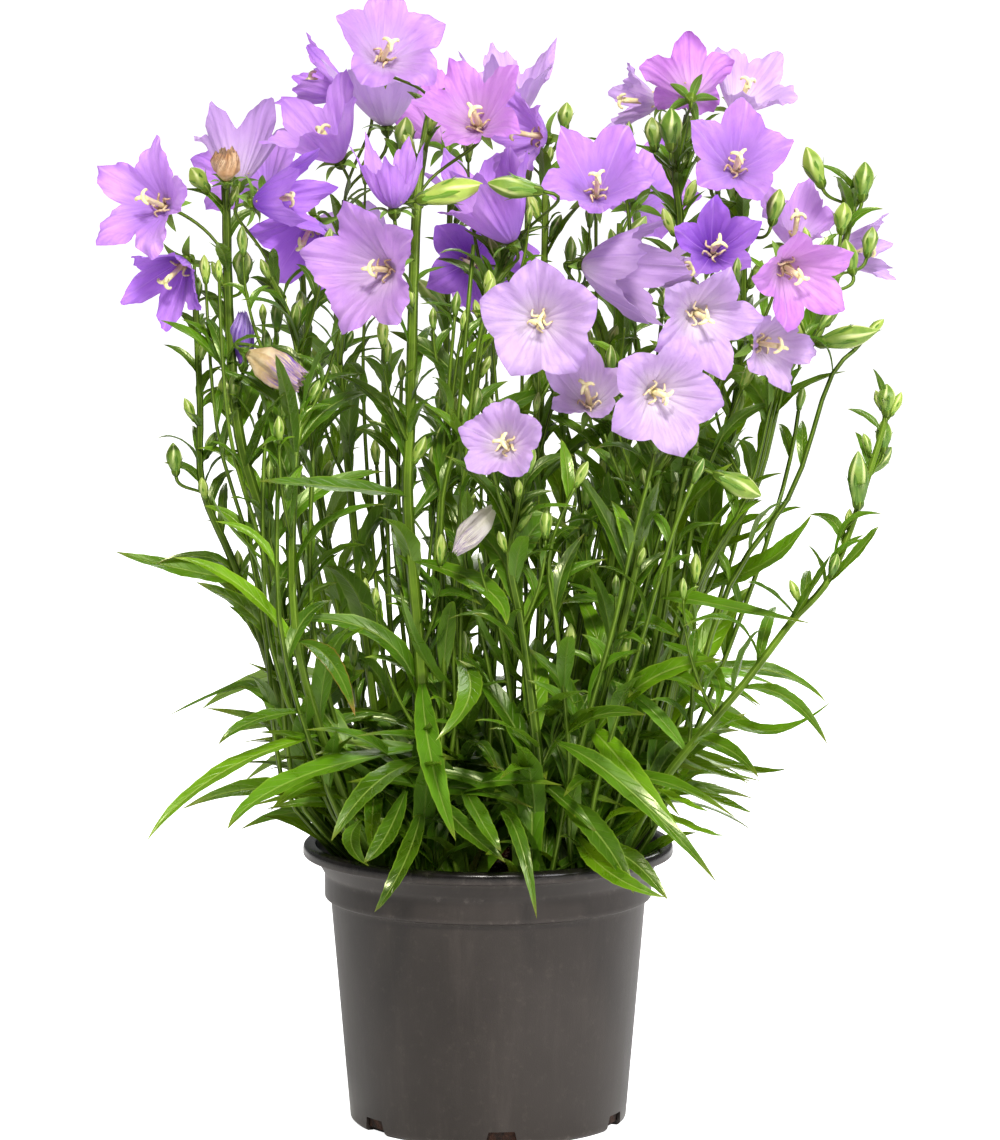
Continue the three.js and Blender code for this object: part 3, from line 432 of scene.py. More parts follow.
dice = np.random.default_rng(7)
shape = Shape()
wall = [(2, 2.1), (62, 2.1), (70.8, 105.1), (73.6, 106), (73.6, MIX_TOP - 1.5)]
turns = full_turn(MIX_SIDES)
radii = [radius for radius, _ in wall] + list(np.linspace(72.4, 2, 42))
rings = []
for i, radius in enumerate(radii):
    x, y = radius * np.cos(turns), radius * np.sin(turns)
    crumb = dice.uniform(-0.5, 0.5, MIX_SIDES) * min(1, radius / 20)
    height = np.full(MIX_SIDES, float(wall[i][1])) if i < len(wall) else MIX_TOP + lumps(x, y) + crumb
    rings.append(np.stack([x, y, height], -1))
shade = np.repeat(np.where(np.arange(len(radii)) < len(wall), SHADED_WALL_TONE, TOP_TONE), MIX_SIDES)
shape.add(np.stack(rings), [grid(len(radii), MIX_SIDES, True), *end_caps(len(radii), MIX_SIDES)],
          marks=np.stack([0 * shade, 0 * shade, shade], -1))

cube = np.array([(x, y, z) for x in (-1, 1) for y in (-1, 1) for z in (-1, 1)], float)
cube_faces = [[(0, 1, 3, 2), (4, 6, 7, 5), (0, 4, 5, 1), (2, 3, 7, 6), (0, 2, 6, 4), (1, 5, 7, 3)]]
for _ in range(CHIPS):
    radius, turn = CHIP_REACH * math.sqrt(dice.uniform()), dice.uniform(0, 2 * math.pi)
    x, y = radius * math.cos(turn), radius * math.sin(turn)
    if min(math.hypot(x - a, y - b) for (a, b), *_ in CROWNS.values()) < CROWN_ROOM:
        continue
    size = np.array([dice.uniform(1, 3.6), dice.uniform(0.6, 1.9), dice.uniform(0.3, 1)])
    chip = cube * size * dice.uniform(0.55, 1.1, (8, 3))
    yaw, tilt = dice.uniform(0, 2 * math.pi), dice.normal(0, 0.45)
    ahead = chip[:, 0] * math.cos(tilt) - chip[:, 2] * math.sin(tilt)
    above = chip[:, 0] * math.sin(tilt) + chip[:, 2] * math.cos(tilt)
    chip = np.stack([ahead * math.cos(yaw) - chip[:, 1] * math.sin(yaw),
                     ahead * math.sin(yaw) + chip[:, 1] * math.cos(yaw), above], -1)
    rise = MIX_TOP + float(lumps(np.float64(x), np.float64(y))) + dice.uniform(0, 1)
    chip = chip + (x, y, rise)
    chip[:, :2] *= np.minimum(1, WALL_REACH / np.hypot(chip[:, 0], chip[:, 1]))[:, None]
    shape.add(chip, cube_faces, 1, (0, 0, dice.uniform()), smooth=False)


def ring_about(centre, side, other, reach, angle):
    """Points at a reach and an angle about a centre line."""
    return centre + side * (reach * np.cos(angle))[..., None] + other * (reach * np.sin(angle))[..., None]


def tube(shape, path, radii, sides, finish=0, tone=0.5, ridge=0.0, ridges=5):
    """A round or ridged body along a path. Its marks: place on a ridge, share of the length, tone."""
    path = np.asarray(path, float)
    radii = np.broadcast_to(np.asarray(radii, float), len(path))
    way = np.gradient(path, axis=0)
    way /= np.linalg.norm(way, axis=1)[:, None]
    side = np.array([1.0, 0, 0]) if abs(way[0][0]) < 0.8 else np.array([0, 1.0, 0])
    sides_at = []
    for step in way:
        side = side - step * (side @ step)
        side = side / np.linalg.norm(side)
        sides_at.append(side)
    side = np.array(sides_at)[:, None]
    other = np.cross(way, side[:, 0])[:, None]
    turns = full_turn(sides)
    wave = np.cos(turns * ridges)
    points = ring_about(path[:, None], side, other, radii[:, None] * (1 + ridge * wave), turns)
    share = np.repeat(np.linspace(0, 1, len(path))[:, None], sides, 1)
    marks = np.stack([np.broadcast_to(1 - wave, share.shape) / 2, share, np.full_like(share, tone)], -1)
    shape.add(points, [grid(len(path), sides, True), *end_caps(len(path), sides)], finish, marks)


for _ in range(FIBRES):
    radius, turn = FIBRE_REACH * math.sqrt(dice.uniform()), dice.uniform(0, 2 * math.pi)
    yaw, length, bend = dice.uniform(0, 2 * math.pi), dice.uniform(4, 11), dice.uniform(-0.25, 0.25)
    steps = np.linspace(-0.5, 0.5, 7)
    x = radius * math.cos(turn) + length * (steps * math.cos(yaw) - bend * steps ** 2 * math.sin(yaw))
    y = radius * math.sin(turn) + length * (steps * math.sin(yaw) + bend * steps ** 2 * math.cos(yaw))
    inside = np.minimum(1, 73 / np.hypot(x, y))
    z = MIX_TOP + lumps(x, y) + 0.9 + dice.uniform(0.2, 1.6) * np.cos(steps * math.pi)
    tube(shape, np.stack([x * inside, y * inside, z], -1), 0.22, 4, 2, dice.uniform())


def crumbly(name, dark, light, scale, patches, depth):
    """A matt finish of peat, bark or root, in two tones with a rough surface."""
    material, tree, output, marked = marked_material(name)
    tone = put(tree, "Group", rgb(dark), rgb(light), scale, patches, marked["Z"], node_tree=mottle)
    rough = put(tree, "Group", scale * 4, 0.9, depth, node_tree=grain)
    coat(tree, output, tone, rough, Roughness=0.92)
    return material


add_piece("peat_and_bark", shape, [
    crumbly("peat", "1a0e08", "4a2a18", 260.0, 0.8, 0.0012),
    crumbly("bark_chips", "2a140a", "9a5630", 300.0, 0.35, 0.0006),
    crumbly("root_fibres", "94744a", "dcc090", 200.0, 0.3, 0.0003)], "potting_mix", "potting_mix")

# Stems: one or two stand in each crown, a short woody stock rooted in the mix. They are green, upright and
# fluted, a few millimetres thick, and taper to their top flower. A small bulge marks where a leaf leaves.

CROWN_TOP = 119
STEM_FOOT = 100
STEM_STEPS = 7
STOCK_HEIGHTS = (95, 104, 112, 115, 117.5, 119)
STOCK_RADII = (5.6, 6.2, 6.6, 6, 4.6, 2.4)
STEM_RADIUS, STEM_TAPER = 2.3, 1.05
LEAF_JOINTS = 11
STOUT = {"a": 1.45, "d": 1.45, "f": 1.1, "h": 1.2, "i": 1.1, "k": 1.1}  # the stems that are thicker than the rest
STEMS = {  # the points that each stem passes on its way up
    "a": [[-86, -24, 158], [-92, -30, 223], [-99, -33, 272], [-112, -31, 319],
          [-117, -20, 368], [-119, -8, 433]],
    "b": [[-81, -2, 149], [-104, -10, 225], [-117, -16, 263], [-130, -19, 297],
          [-131, -15, 336], [-134, -2, 392]],
    "c": [[-65, -41, 156], [-86, -59, 232], [-87, -48, 308], [-83, -37, 338], [-88, -25, 368], [-99, -22, 395]],
    "d": [[-30, -33, 154], [-30, -39, 211], [-36, -40, 288], [-35, -36, 329], [-32, -18, 426], [-25, 4, 473]],
    "e": [[-48, 22, 146], [-59, 31, 238], [-67, 39, 321], [-70, 37, 377], [-66, 30, 424]],
    "f": [[-12, -25, 153], [-15, -29, 237], [-11, -31, 292], [-4, -28, 357], [3, -26, 387], [11, -22, 399]],
    "g": [[19, -11, 151], [24, -17, 235], [24, -18, 290], [24, -13, 336], [26, -8, 413], [26, -2, 444]],
    "h": [[23, -54, 158], [22, -66, 185], [15, -76, 241], [10, -79, 270], [13, -81, 293], [16, -84, 311]],
    "i": [[35, -12, 151], [50, -16, 221], [57, -18, 268], [59, -12, 311], [55, -4, 344], [49, -4, 371]],
    "j": [[40, -46, 156], [47, -53, 190], [60, -61, 237], [70, -62, 282], [78, -61, 313], [81, -62, 329]],
    "k": [[54, 22, 151], [73, 24, 240], [81, 24, 332], [88, 18, 407], [86, 14, 437], [91, 10, 464]],
    "l": [[57, -34, 154], [76, -39, 229], [84, -41, 293], [92, -40, 325], [96, -38, 349], [96, -36, 363]],
    "m": [[66, 12, 152], [93, 12, 241], [110, 10, 310], [116, 8, 357], [117, 6, 398], [116, 8, 423]],
    "n": [[74, -14, 152], [95, -24, 247], [121, -24, 296], [135, -18, 347], [152, -8, 368],
          [165, 6, 414], [169, 10, 428]],
    "o": [[69, -34, 145], [84, -62, 175], [113, -83, 214], [134, -88, 243], [154, -88, 268],
          [174, -78, 324], [177, -75, 339]],
    "q": [[-52, 38, 150], [-72, 62, 240], [-84, 76, 320], [-88, 82, 396]],
    "r": [[-10, 46, 150], [-16, 70, 240], [-20, 84, 330], [-18, 88, 420]],
    "s": [[28, 58, 150], [44, 78, 240], [58, 86, 320], [62, 84, 410]],
}


def catmull(points, t):
    """The point at a share t of a smooth curve through the points."""
    place = (len(points) - 1) * t
    i = min(int(place), len(points) - 2)
    w = place - i
    first, second = points[i], points[i + 1]
    before = points[i - 1] if i > 0 else 2 * first - second
    after = points[i + 2] if i + 2 < len(points) else 2 * second - first
    a, b = 0.5 * (second - before), 0.5 * (after - first)
    return first + a * w + (3 * (second - first) - 2 * a - b) * w * w + (2 * (first - second) + a + b) * w ** 3


def on_stem(letter, t):
    """The point at a share of a stem, on straight runs between its knots, as the plain model has them."""
    knots, points = stem_line[letter]
    return np.array([np.interp(t, knots, points[:, k]) for k in range(3)])


def at_height(letter, height):
    """The share of a stem's length at which it reaches a height."""
    knots, points = stem_line[letter]
    over = np.nonzero(points[:, 2] >= height)[0]
    if len(over) == 0 or over[0] == 0:
        return 0.99
    i = over[0]
    share = (height - points[i - 1, 2]) / (points[i, 2] - points[i - 1, 2])
    return knots[i - 1] + share * (knots[i] - knots[i - 1])


green_stem, tree, output, marked = marked_material("green_stem")
tone = put(tree, "Group", rgb("233c08"), rgb("5f7e1e"), 60.0, 0.55, marked["Z"], node_tree=mottle)
flute = between(tree, marked["X"], 0.35, 0.0)
place = put(tree, "CombineXYZ", times(tree, marked["X"], 2.5), times(tree, marked["Y"], 7.0), marked["Z"])
streaks = between(tree, put(tree, "TexNoise", place, None, 3.0, 4.0, 0.65), 0.45, 0.7)
body = mixed(tree, times(tree, streaks, 0.5), tone, rgb("182a04"))
body = mixed(tree, times(tree, flute, 0.45), body, rgb("8ea644"))
skin = put(tree, "Group", 1500.0, 0.35, 0.0002, node_tree=grain)
coat(tree, output, body, skin, Roughness=0.36, Specular_IOR_Level=0.4, Specular_Tint=rgb("e6f0a8"))
crown_stock = crumbly("crown_stock", "2c2412", "5d6a2a", 240.0, 0.6, 0.0006)

stem_curve, stem_line, crown_of, stem_shapes = {}, {}, {}, {}
for number, (name, ((x, y), letters, _, _)) in enumerate(CROWNS.items()):
    shape = Shape()
    tube(shape, [(x, y, z) for z in STOCK_HEIGHTS], STOCK_RADII, 14, 1, 0.3, 0.12, 7)
    for letter in letters:
        points = [np.array(point, float) for point in STEMS[letter]]
        way = (points[0] - (x, y, 0)) * (1, 1, 0)
        foot = np.array([x, y, STEM_FOOT]) + way / np.linalg.norm(way) * (3 if len(letters) > 1 else 0)
        way = points[0] - (x, y, points[0][2])
        curve = [foot, foot + (0, 0, CROWN_TOP - STEM_FOOT), *points]
        start = 1 / (len(points) + 1)
        knots = np.array([0, *(start + (1 - start) * k / (STEM_STEPS - 1) for k in range(STEM_STEPS))])
        stem_curve[letter] = curve
        stem_line[letter] = knots, np.array([catmull(curve, t) for t in knots])
        crown_of[letter] = name
        shares = np.linspace(0, 1, 44)
        radii = (STEM_RADIUS - STEM_TAPER * shares) * STOUT.get(letter, 1)
        radii *= 1 + 0.1 * np.cos(2 * math.pi * shares * LEAF_JOINTS) ** 8
        tube(shape, [catmull(curve, t) for t in shares], radii, 12, 0, draw(number, 21), 0.08, 6)
    stem_shapes[name] = shape


def surface_of(*names):
    """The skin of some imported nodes, to measure how far a point lies from it."""
    points, faces = [], []
    for name in names:
        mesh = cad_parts[name].data
        faces += [[i + len(points) for i in polygon.vertices] for polygon in mesh.polygons]
        points += [vertex.co * 1000 for vertex in mesh.vertices]
    return BVHTree.FromPolygons(points, faces)


def distance(surface, point):
    """How far a point lies from a surface."""
    return surface.find_nearest(Vector(point))[3]


# Shoots: thin stems stand beside each main one and short side shoots leave it, up to below the flowers.
MORE_STEMS = 3
SIDE_SHOOTS = 5
LONE_STEMS = "bo"
GOLDEN_TURN = math.radians(137.5)
flowers = surface_of("pot", "potting_mix", *(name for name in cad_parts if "bloom" in name))
low, high = (np.array(corner) * 1000 for corner in cad_box)
shoots = []


def grow_shoot(letter, path, radius, leaves, size, start):
    """Adds a shoot as far as it stays clear of the flowers, and notes it for its leaves and its bud."""
    for i in range(start, len(path)):
        if distance(flowers, path[i]) < 4 or (path[i] < low + 4).any() or (path[i] > high - 4).any():
            path = path[:i - 1]
            break
    if len(path) > 5:
        radii = np.linspace(radius, 0.55 * radius, len(path))
        tube(stem_shapes[crown_of[letter]], path, radii, 8, 0, draw(path[0][0], 21), 0.06, 4)
        shoots.append((letter, path, leaves, size))


steps = np.linspace(0, 1, 22)
for c, letter in enumerate(STEMS):
    for k in range(0 if letter in LONE_STEMS else MORE_STEMS + 3 * (letter in "efgr")):
        mine = 5000 + 10 * c + k
        turn, top, spread = 2 * math.pi * draw(mine, 1), 0.6 + 0.36 * draw(mine, 2), 10 + 20 * draw(mine, 3)
        away = heading(turn)
        sway = 2.5 + spread * steps * (1 + 0.3 * np.sin(4 * steps + mine))
        path = np.array([catmull(stem_curve[letter], top * t) + away * reach for t, reach in zip(steps, sway)])
        grow_shoot(letter, path, 1.2 + 0.5 * draw(mine, 4), 9, 52, 8)
    for k in range(2 if letter in LONE_STEMS else SIDE_SHOOTS):
        mine = 6000 + 10 * c + k
        turn, length = k * GOLDEN_TURN + c, 26 + 52 * draw(mine, 2)
        base = catmull(stem_curve[letter], 0.3 + 0.56 * (k + draw(mine, 1)) / SIDE_SHOOTS)
        away = heading(turn)
        path = base + away * (0.36 * length * (1 - (1 - steps) ** 2))[:, None]
        path = path + np.array([0, 0, length]) * steps[:, None]
        grow_shoot(letter, path, 0.95, 4, 26, 3)

for name, shape in stem_shapes.items():
    add_piece(f"stems_{name}", shape, [green_stem, crown_stock], "foliage", f"leafy_stem_{name}")

# Calyces: each flower stands on a thin stalk that leaves its stem and ends in a ribbed green cup. Five
# narrow sepals spread from the cup like a star, with thin reddish tips, and the stalk grows into the cup.

STALK_RADIUS = 0.85
CALYX_LENGTH = 5
CALYX_RADIUS = 3
SEPAL_LENGTH = 14
SEPAL_ACROSS = np.array([-1, -0.5, 0, 0.5, 1])
BLOOMS = {  # stem, throat, facing, width, depth, how open, where its notches reach, roll, drop of its stalk, tint
    "01": ["d", [-48, 2, 489], [0.2, -0.8, 0.5], 54, 24, 0.75, 0.6, 19, 18, "soft"],
    "02": ["e", [-66, 57, 472], [-0.85, -0.2, 0.4], 35, 25, 0.4, 0.55, 40, 30, "violet"],
    # 03 takes the pale tint to lighten its shaded face: painted light.
    "03": ["e", [-47, 36, 458], [-0.1, -0.1, 0.98], 52, 32, 0.4, 0.55, 34, 26, "pale"],
    "04": ["e", [-68, 2, 444], [-0.42, -0.4, 0.8], 52, 30, 0.5, 0.55, 20, 20, "violet"],
    "05": ["d", [-42, -50, 425], [-0.08, -0.15, 1], 34, 33, 0.1, 0.5, 54, 26, "violet"],
    "06": ["a", [-115, 26, 432], [0.03, 0.45, 0.9], 46, 32, 0.5, 0.55, 54, 26, "pale"],
    "07": ["a", [-146, -18, 424], [-0.48, -0.82, 0.25], 58, 24, 0.85, 0.42, 8, 30, "violet"],
    "08": ["b", [-138, -6, 398], [-0.4, -0.75, -0.45], 40, 24, 0.5, 0.5, 46, 14, "deep"],
    # 09 takes the deep tint for the shade that falls on it: painted shade.
    "09": ["c", [-105, -38, 427], [0.9, -0.35, 0.15], 38, 32, 0.3, 0.55, 70, 20, "deep"],
    "10": ["e", [-80, 12, 415], [-0.3, -0.75, -0.55], 48, 26, 0.5, 0.55, 10, 18, "deep"],
    "11": ["d", [-44, -56, 398], [-0.5, -0.85, 0.08], 60, 24, 0.9, 0.62, 28, 28, "soft"],
    "12": ["r", [-3, 50, 412], [-0.15, -0.2, 1], 46, 30, 0.4, 0.55, 54, 24, "violet"],
    "13": ["d", [-4, -22, 460], [-0.15, -0.8, 0.5], 52, 26, 0.7, 0.45, 40, 34, "pink"],
    "14": ["g", [10, 30, 459], [0.0, -0.3, 0.93], 46, 38, 0.35, 0.5, 34, 26, "pale"],
    "15": ["g", [26, 3, 454], [-0.65, -0.5, 0.12], 42, 22, 0.5, 0.5, 30, 14, "violet"],
    "16": ["f", [11, -34, 409], [-0.42, -0.1, 0.9], 48, 34, 0.4, 0.55, 54, 12, "violet"],
    "17": ["f", [-8, 22, 396], [0.05, -0.9, 0.05], 46, 26, 0.5, 0.55, 60, 72, "deep"],
    "18": ["i", [49, -24, 429], [0.0, -0.8, 0.55], 50, 25, 0.65, 0.6, 59, 30, "violet"],
    # 19 takes the pale tint to lighten its shaded face: painted light.
    "19": ["i", [43, -18, 398], [0.88, -0.35, -0.12], 50, 38, 0.25, 0.6, 8, 20, "pale"],
    "20": ["g", [23, -74, 377], [0, -1, 0.08], 54, 20, 1, 0.76, 21, 30, "pale"],
    "21": ["h", [9, -98, 323], [-0.2, -0.93, 0.3], 38, 18, 0.8, 0.72, 19, 18, "pale"],
    "22": ["i", [46, -45, 336], [-0.1, -0.75, 0.6], 40, 24, 0.5, 0.5, 18, 18, "pale"],
    "23": ["j", [73, -82, 346], [0.3, -0.92, -0.05], 55, 20, 0.95, 0.66, 69, 16, "pale"],
    "24": ["l", [92, -66, 380], [0.25, -0.9, -0.12], 52, 22, 0.8, 0.52, 68, 18, "pale"],
    "25": ["k", [92, -3, 473], [-0.05, 0.88, 0.4], 44, 24, 0.7, 0.55, 18, 14, "pink"],
    # 26 takes the pale tint to lighten its shaded face: painted light.
    "26": ["k", [79, 44, 468], [-0.85, -0.2, 0.1], 32, 22, 0.4, 0.55, 18, 18, "pale"],
    "27": ["k", [115, 52, 464], [0.3, -0.5, 0.75], 46, 24, 0.6, 0.6, 28, 26, "pale"],
    "28": ["m", [112, -10, 440], [0.05, -0.9, 0.42], 50, 26, 0.6, 0.6, 8, 26, "violet"],
    "29": ["m", [101, -33, 404], [0.1, -0.9, 0.35], 39, 24, 0.4, 0.55, 23, 24, "deep"],
    "30": ["n", [132, -56, 400], [0.35, -0.85, -0.2], 48, 22, 0.8, 0.55, 35, 26, "pink"],
    "31": ["n", [140, 20, 404], [0.1, -0.55, 0.8], 42, 24, 0.5, 0.55, 60, 24, "soft"],
    "32": ["n", [121, -40, 364], [0.5, -0.8, -0.02], 40, 22, 0.8, 0.5, 64, 26, "pale"],
    "33": ["n", [160, 40, 399], [0.9, -0.2, 0.1], 30, 24, 0.3, 0.5, 0, 16, "pale"],
    # 34 takes the pale tint to lighten its shaded face: painted light.
    "34": ["l", [77, 12, 388], [0.8, -0.3, 0.35], 30, 24, 0.2, 0.5, 0, 20, "pale"],
    "35": ["q", [-106, 88, 424], [-0.4, 0.75, 0.5], 54, 24, 0.8, 0.6, 12, 22, "violet"],
    "36": ["q", [-66, 98, 392], [0.1, 0.95, 0.1], 52, 22, 0.9, 0.7, 40, 24, "pale"],
    "37": ["r", [-20, 92, 446], [-0.1, 0.7, 0.7], 50, 26, 0.6, 0.6, 66, 18, "pink"],
    "38": ["r", [-4, 104, 396], [0.15, 0.9, -0.3], 48, 28, 0.5, 0.55, 25, 22, "violet"],
    "39": ["s", [70, 96, 418], [0.25, 0.85, 0.4], 54, 23, 0.8, 0.6, 50, 20, "violet"],
}

# Veins: a rib along the middle, side veins that slant from it, and a margin, from a blade's two marks.
veins, given, found = shader_group("leaf_veins", [
    ("Across", "Float", 0.0), ("Along", "Float", 0.0), ("Count", "Float", 9.0), ("Slant", "Float", 1.5),
    ("Rib", "Float", 0.08)], [("Rib", "Float"), ("Side veins", "Float"), ("Margin", "Float")])
apart = maths(veins, "ABSOLUTE", given["Across"])
rib = put(veins, "MapRange", apart, times(veins, given["Rib"], 0.4), given["Rib"], 1.0, 0.0,
          interpolation_type="SMOOTHSTEP").outputs[0]
step = maths(veins, "SUBTRACT", times(veins, given["Along"], given["Count"]),
             times(veins, apart, given["Slant"]))
wave = maths(veins, "ABSOLUTE", maths(veins, "SUBTRACT", maths(veins, "FRACT", step), 0.5))
side = times(veins, between(veins, wave, 0.12, 0.0), between(veins, apart, 0.95, 0.6))
veins.links.new(rib, found["Rib"])
veins.links.new(side, found["Side veins"])
veins.links.new(between(veins, apart, 0.84, 0.99), found["Margin"])


def leafy(name, dark, light, rib, margin, tip, under, glow, rough=0.38):
    """A leaf's finish: mottled green, a pale rib, side veins, a lighter margin and tip, and light through it."""
    material, tree, output, marked = marked_material(name)
    across, along, item = marked
    tone = put(tree, "Group", rgb(dark), rgb(light), 55.0, 0.35, item, node_tree=mottle)
    net = put(tree, "Group", across, along, 11.0, 1.6, 0.11, node_tree=veins)
    body = mixed(tree, times(tree, net.outputs[1], 0.1), tone, rgb(rib))
    body = mixed(tree, times(tree, net, 0.36), body, rgb(rib))
    body = mixed(tree, times(tree, net.outputs[2], 0.45), body, rgb(margin))
    body = mixed(tree, times(tree, between(tree, along, 0.86, 1.0), 0.6), body, rgb(tip))
    back = put(tree, "NewGeometry").outputs["Backfacing"]
    body = mixed(tree, times(tree, back, 0.45), body, rgb(under))
    gloss = plus(tree, times(tree, tone.outputs[1], 0.14), rough - 0.07)
    raised = maths(tree, "SUBTRACT", times(tree, net.outputs[1], -0.5), net)
    skin = put(tree, "Group", 1100.0, 0.25, 0.0002, node_tree=grain)
    bump = put(tree, "Bump", 0.6, 0.0005, None, raised, skin)
    coat(tree, output, body, bump, glow, 0.17, Roughness=gloss, Specular_IOR_Level=0.8, Specular_Tint=rgb("eef6c4"))
    return material


def ribbon(shape, path, half, side, lift, across, profile, finish, tone):
    """A thin blade about a middle line, with its half width and its rise at each place across."""
    points = path[:, None] + side[:, None] * (half[:, None] * across)[..., None]
    points = points + lift[:, None] * profile[..., None]
    share = np.broadcast_to(np.linspace(0, 1, len(path))[:, None], profile.shape)
    marks = np.stack([np.broadcast_to(across, profile.shape), share, np.full(profile.shape, tone)], -1)
    shape.add(points, [grid(len(path), len(across))], finish, marks)


def unit(v):
    """The direction of a vector, with a length of 1."""
    return v / np.linalg.norm(v, axis=-1, keepdims=True)


def crossways(way):
    """Two directions at right angles to a way and to each other."""
    side = unit(np.cross((0, 0, 1), way)) if abs(way[2]) < 0.95 else np.array([1.0, 0, 0])
    return side, unit(np.cross(way, side))


def stalk(shape, letter, top, way, drop, size, tone):
    """A thin stalk that leaves a stem and rises to a flower's cup."""
    foot = top - way * CALYX_LENGTH * size
    start = on_stem(letter, at_height(letter, min(foot[2] - drop, on_stem(letter, 1)[2] - 2)))
    reach = np.linalg.norm(start - foot)
    bend = [start, start + np.array([0, 0, 0.4 * reach]), foot - way * 0.4 * reach, foot]
    u = np.linspace(0, 1, 12)[:, None]
    path = sum(w * point for w, point in zip(((1 - u) ** 3, 3 * u * (1 - u) ** 2, 3 * u * u * (1 - u), u ** 3), bend))
    tube(shape, path, STALK_RADIUS * (0.75 + 0.25 * u[:, 0]), 8, 0, tone, 0.06, 4)


def cup(shape, top, way, size, tone):
    """The ribbed green cup under a flower or a bud."""
    heights = np.array([-1, -0.85, -0.6, -0.3, -0.1, 0.0]) * CALYX_LENGTH * size
    radii = np.array([0.36, 0.62, 0.9, 1.0, 0.97, 0.86]) * CALYX_RADIUS * size
    tube(shape, [top + way * (h + 0.02 * i) for i, h in enumerate(heights)], radii, 20, 0, tone, 0.08, 5)


def sepals(shape, top, way, turn, size, reach, rise, width, tone, curl, item):
    """Five narrow sepals from the cup's rim, each out to its own reach and rise."""
    side, other = crossways(way)
    for k in range(5):
        angle = turn + 2 * math.pi * k / 5
        out = side * math.cos(angle) + other * math.sin(angle)
        base = top + out * 0.93 * CALYX_RADIUS * size - way * 0.4 * CALYX_LENGTH * size
        far = reach * (0.9 + 0.12 * draw(item, 30 + k))
        tip = top + out * far + way * rise
        middle = 0.5 * (base + tip) + way * curl - out * 0.06 * reach
        s = np.linspace(0, 1, 9)[:, None]
        path = (1 - s) ** 2 * base + 2 * s * (1 - s) * (2 * middle - 0.5 * (base + tip)) + s * s * tip
        s = s[:, 0]
        around = unit(np.cross(way, out))
        widest = 0.3
        fuller = 0.75 + 0.25 * np.sin(s / widest * math.pi / 2)
        half = width / 2 * np.where(s < widest, fuller, np.cos((s - widest) / 0.7 * math.pi / 2) ** 0.8)
        along = unit(np.gradient(path, axis=0))
        lift = np.cross(along, around)
        lift *= np.sign((lift @ way).sum())
        profile = half[:, None] * 0.35 * SEPAL_ACROSS ** 2
        ribbon(shape, path, np.maximum(half, 0.03), np.tile(around, (9, 1)), lift, SEPAL_ACROSS, profile, 1, tone)


sepal_green = leafy("sepal_green", "2f5c10", "6ea02c", "b4d468", "8fae3c", "7a3a28", "86ac4c", "9ccc2c")
calyx_shapes = {name: Shape() for name in CROWNS}
for key, (letter, top, facing, *_, drop, _) in BLOOMS.items():
    number = int(key)
    way, top = unit(np.array(facing, float)), np.array(top, float)
    turn = 2 * draw(number, 2)
    into = calyx_shapes[crown_of[letter]]
    stalk(into, letter, top, way, drop, 1, draw(number, 22))
    cup(into, top, way, 1, draw(number, 22))
    sepals(into, top, way, turn, 1, SEPAL_LENGTH, -2.4, 4.2, draw(number, 23), 1.6, number)

# Faded flowers: one furled and still violet, one closing and pale, one withered to beige and one dried brown.
# Each is the limp corolla, folded in five, that the flower leaves in its cup.
SPENT = {  # stem, cup, tip, width, how open the tip is, dark tone, light tone, streaks, slot
    "furled": ("b", (-111, -22, 353), (-111, -22, 376), 10, 0.35, "5a2fa8", "9a6ad8", "c9b0f0", "petal_deep"),
    "withered": ("c", (-108, -46, 360), (-84, -52, 348), 15, 0.7, "b79a62", "e6d6b0", "6a3fb0", "petal_dry"),
    "closing": ("f", (3, -75, 294), (-14, -77, 274), 11, 0.3, "e0dac2", "fffcf0", "6a3692", "petal_pale"),
    "dried": ("a", (-118, -20, 436), (-118, -24, 449), 12, 0.8, "b8844e", "f8e2bc", "5e2c14", "petal_dry"),
}
for number, (name, (letter, top, end, width, drawn, dark, light, streak, slot)) in enumerate(SPENT.items(), 60):
    top, end = np.array(top, float), np.array(end, float)
    way, length = unit(end - top), np.linalg.norm(end - top)
    into = calyx_shapes[crown_of[letter]]
    stalk(into, letter, top, way, 14, 0.8, draw(number, 22))
    cup(into, top, way, 0.8, draw(number, 22))
    sepals(into, top, way, 0, 0.8, 0.7 * SEPAL_LENGTH, 1, 3, draw(number, 23), 1, number)
    side, other = crossways(way)
    shares = np.array([0, 0.1, 0.2, 0.3, 0.4, 0.5, 0.6, 0.7, 0.8, 0.88, 0.95, 1])
    radii = np.interp(shares, [0, 0.3, 0.65, 1], [1.8, 0.44 * width, 0.5 * width, 0.42 * drawn * width])
    turns, up = full_turn(60), shares[:, None]
    fold = 1 + (0.1 + 0.16 * up) * np.cos(5 * turns) + 0.05 * np.sin(11 * turns + 9 * up)
    ragged = length * up + 1.4 * up ** 6 * np.sin(5 * turns + 1) * np.sin(13 * turns)
    points = ring_about(top + way * ragged[..., None], side, other, radii[:, None] * fold, turns + 0.9 * up)
    marks = np.stack(np.broadcast_arrays(np.cos(5 * turns), up, draw(number, 24)), -1)
    shape = Shape()
    shape.add(points + way * 0.3, [grid(12, 60, True)], 0, marks)
    limp, tree, output, marked = marked_material(f"{name}_petal")
    tone = put(tree, "Group", rgb(dark), rgb(light), 160.0, 0.8, marked["Z"], node_tree=mottle)
    place = put(tree, "CombineXYZ", times(tree, marked["X"], 3.0), marked["Y"], marked["Z"])
    streaks = between(tree, put(tree, "TexNoise", place, None, 2.2, 4.0, 0.7), 0.44, 0.56)
    body = mixed(tree, times(tree, streaks, between(tree, marked["Y"], 0.25, 0.8)), tone, rgb(streak))
    coat(tree, output, body, put(tree, "Group", 700.0, 0.6, 0.0006, node_tree=grain), light, 0.25, Roughness=0.6)
    add_piece(f"faded_{name}", shape, [limp], slot, f"spent_bloom_{name}")

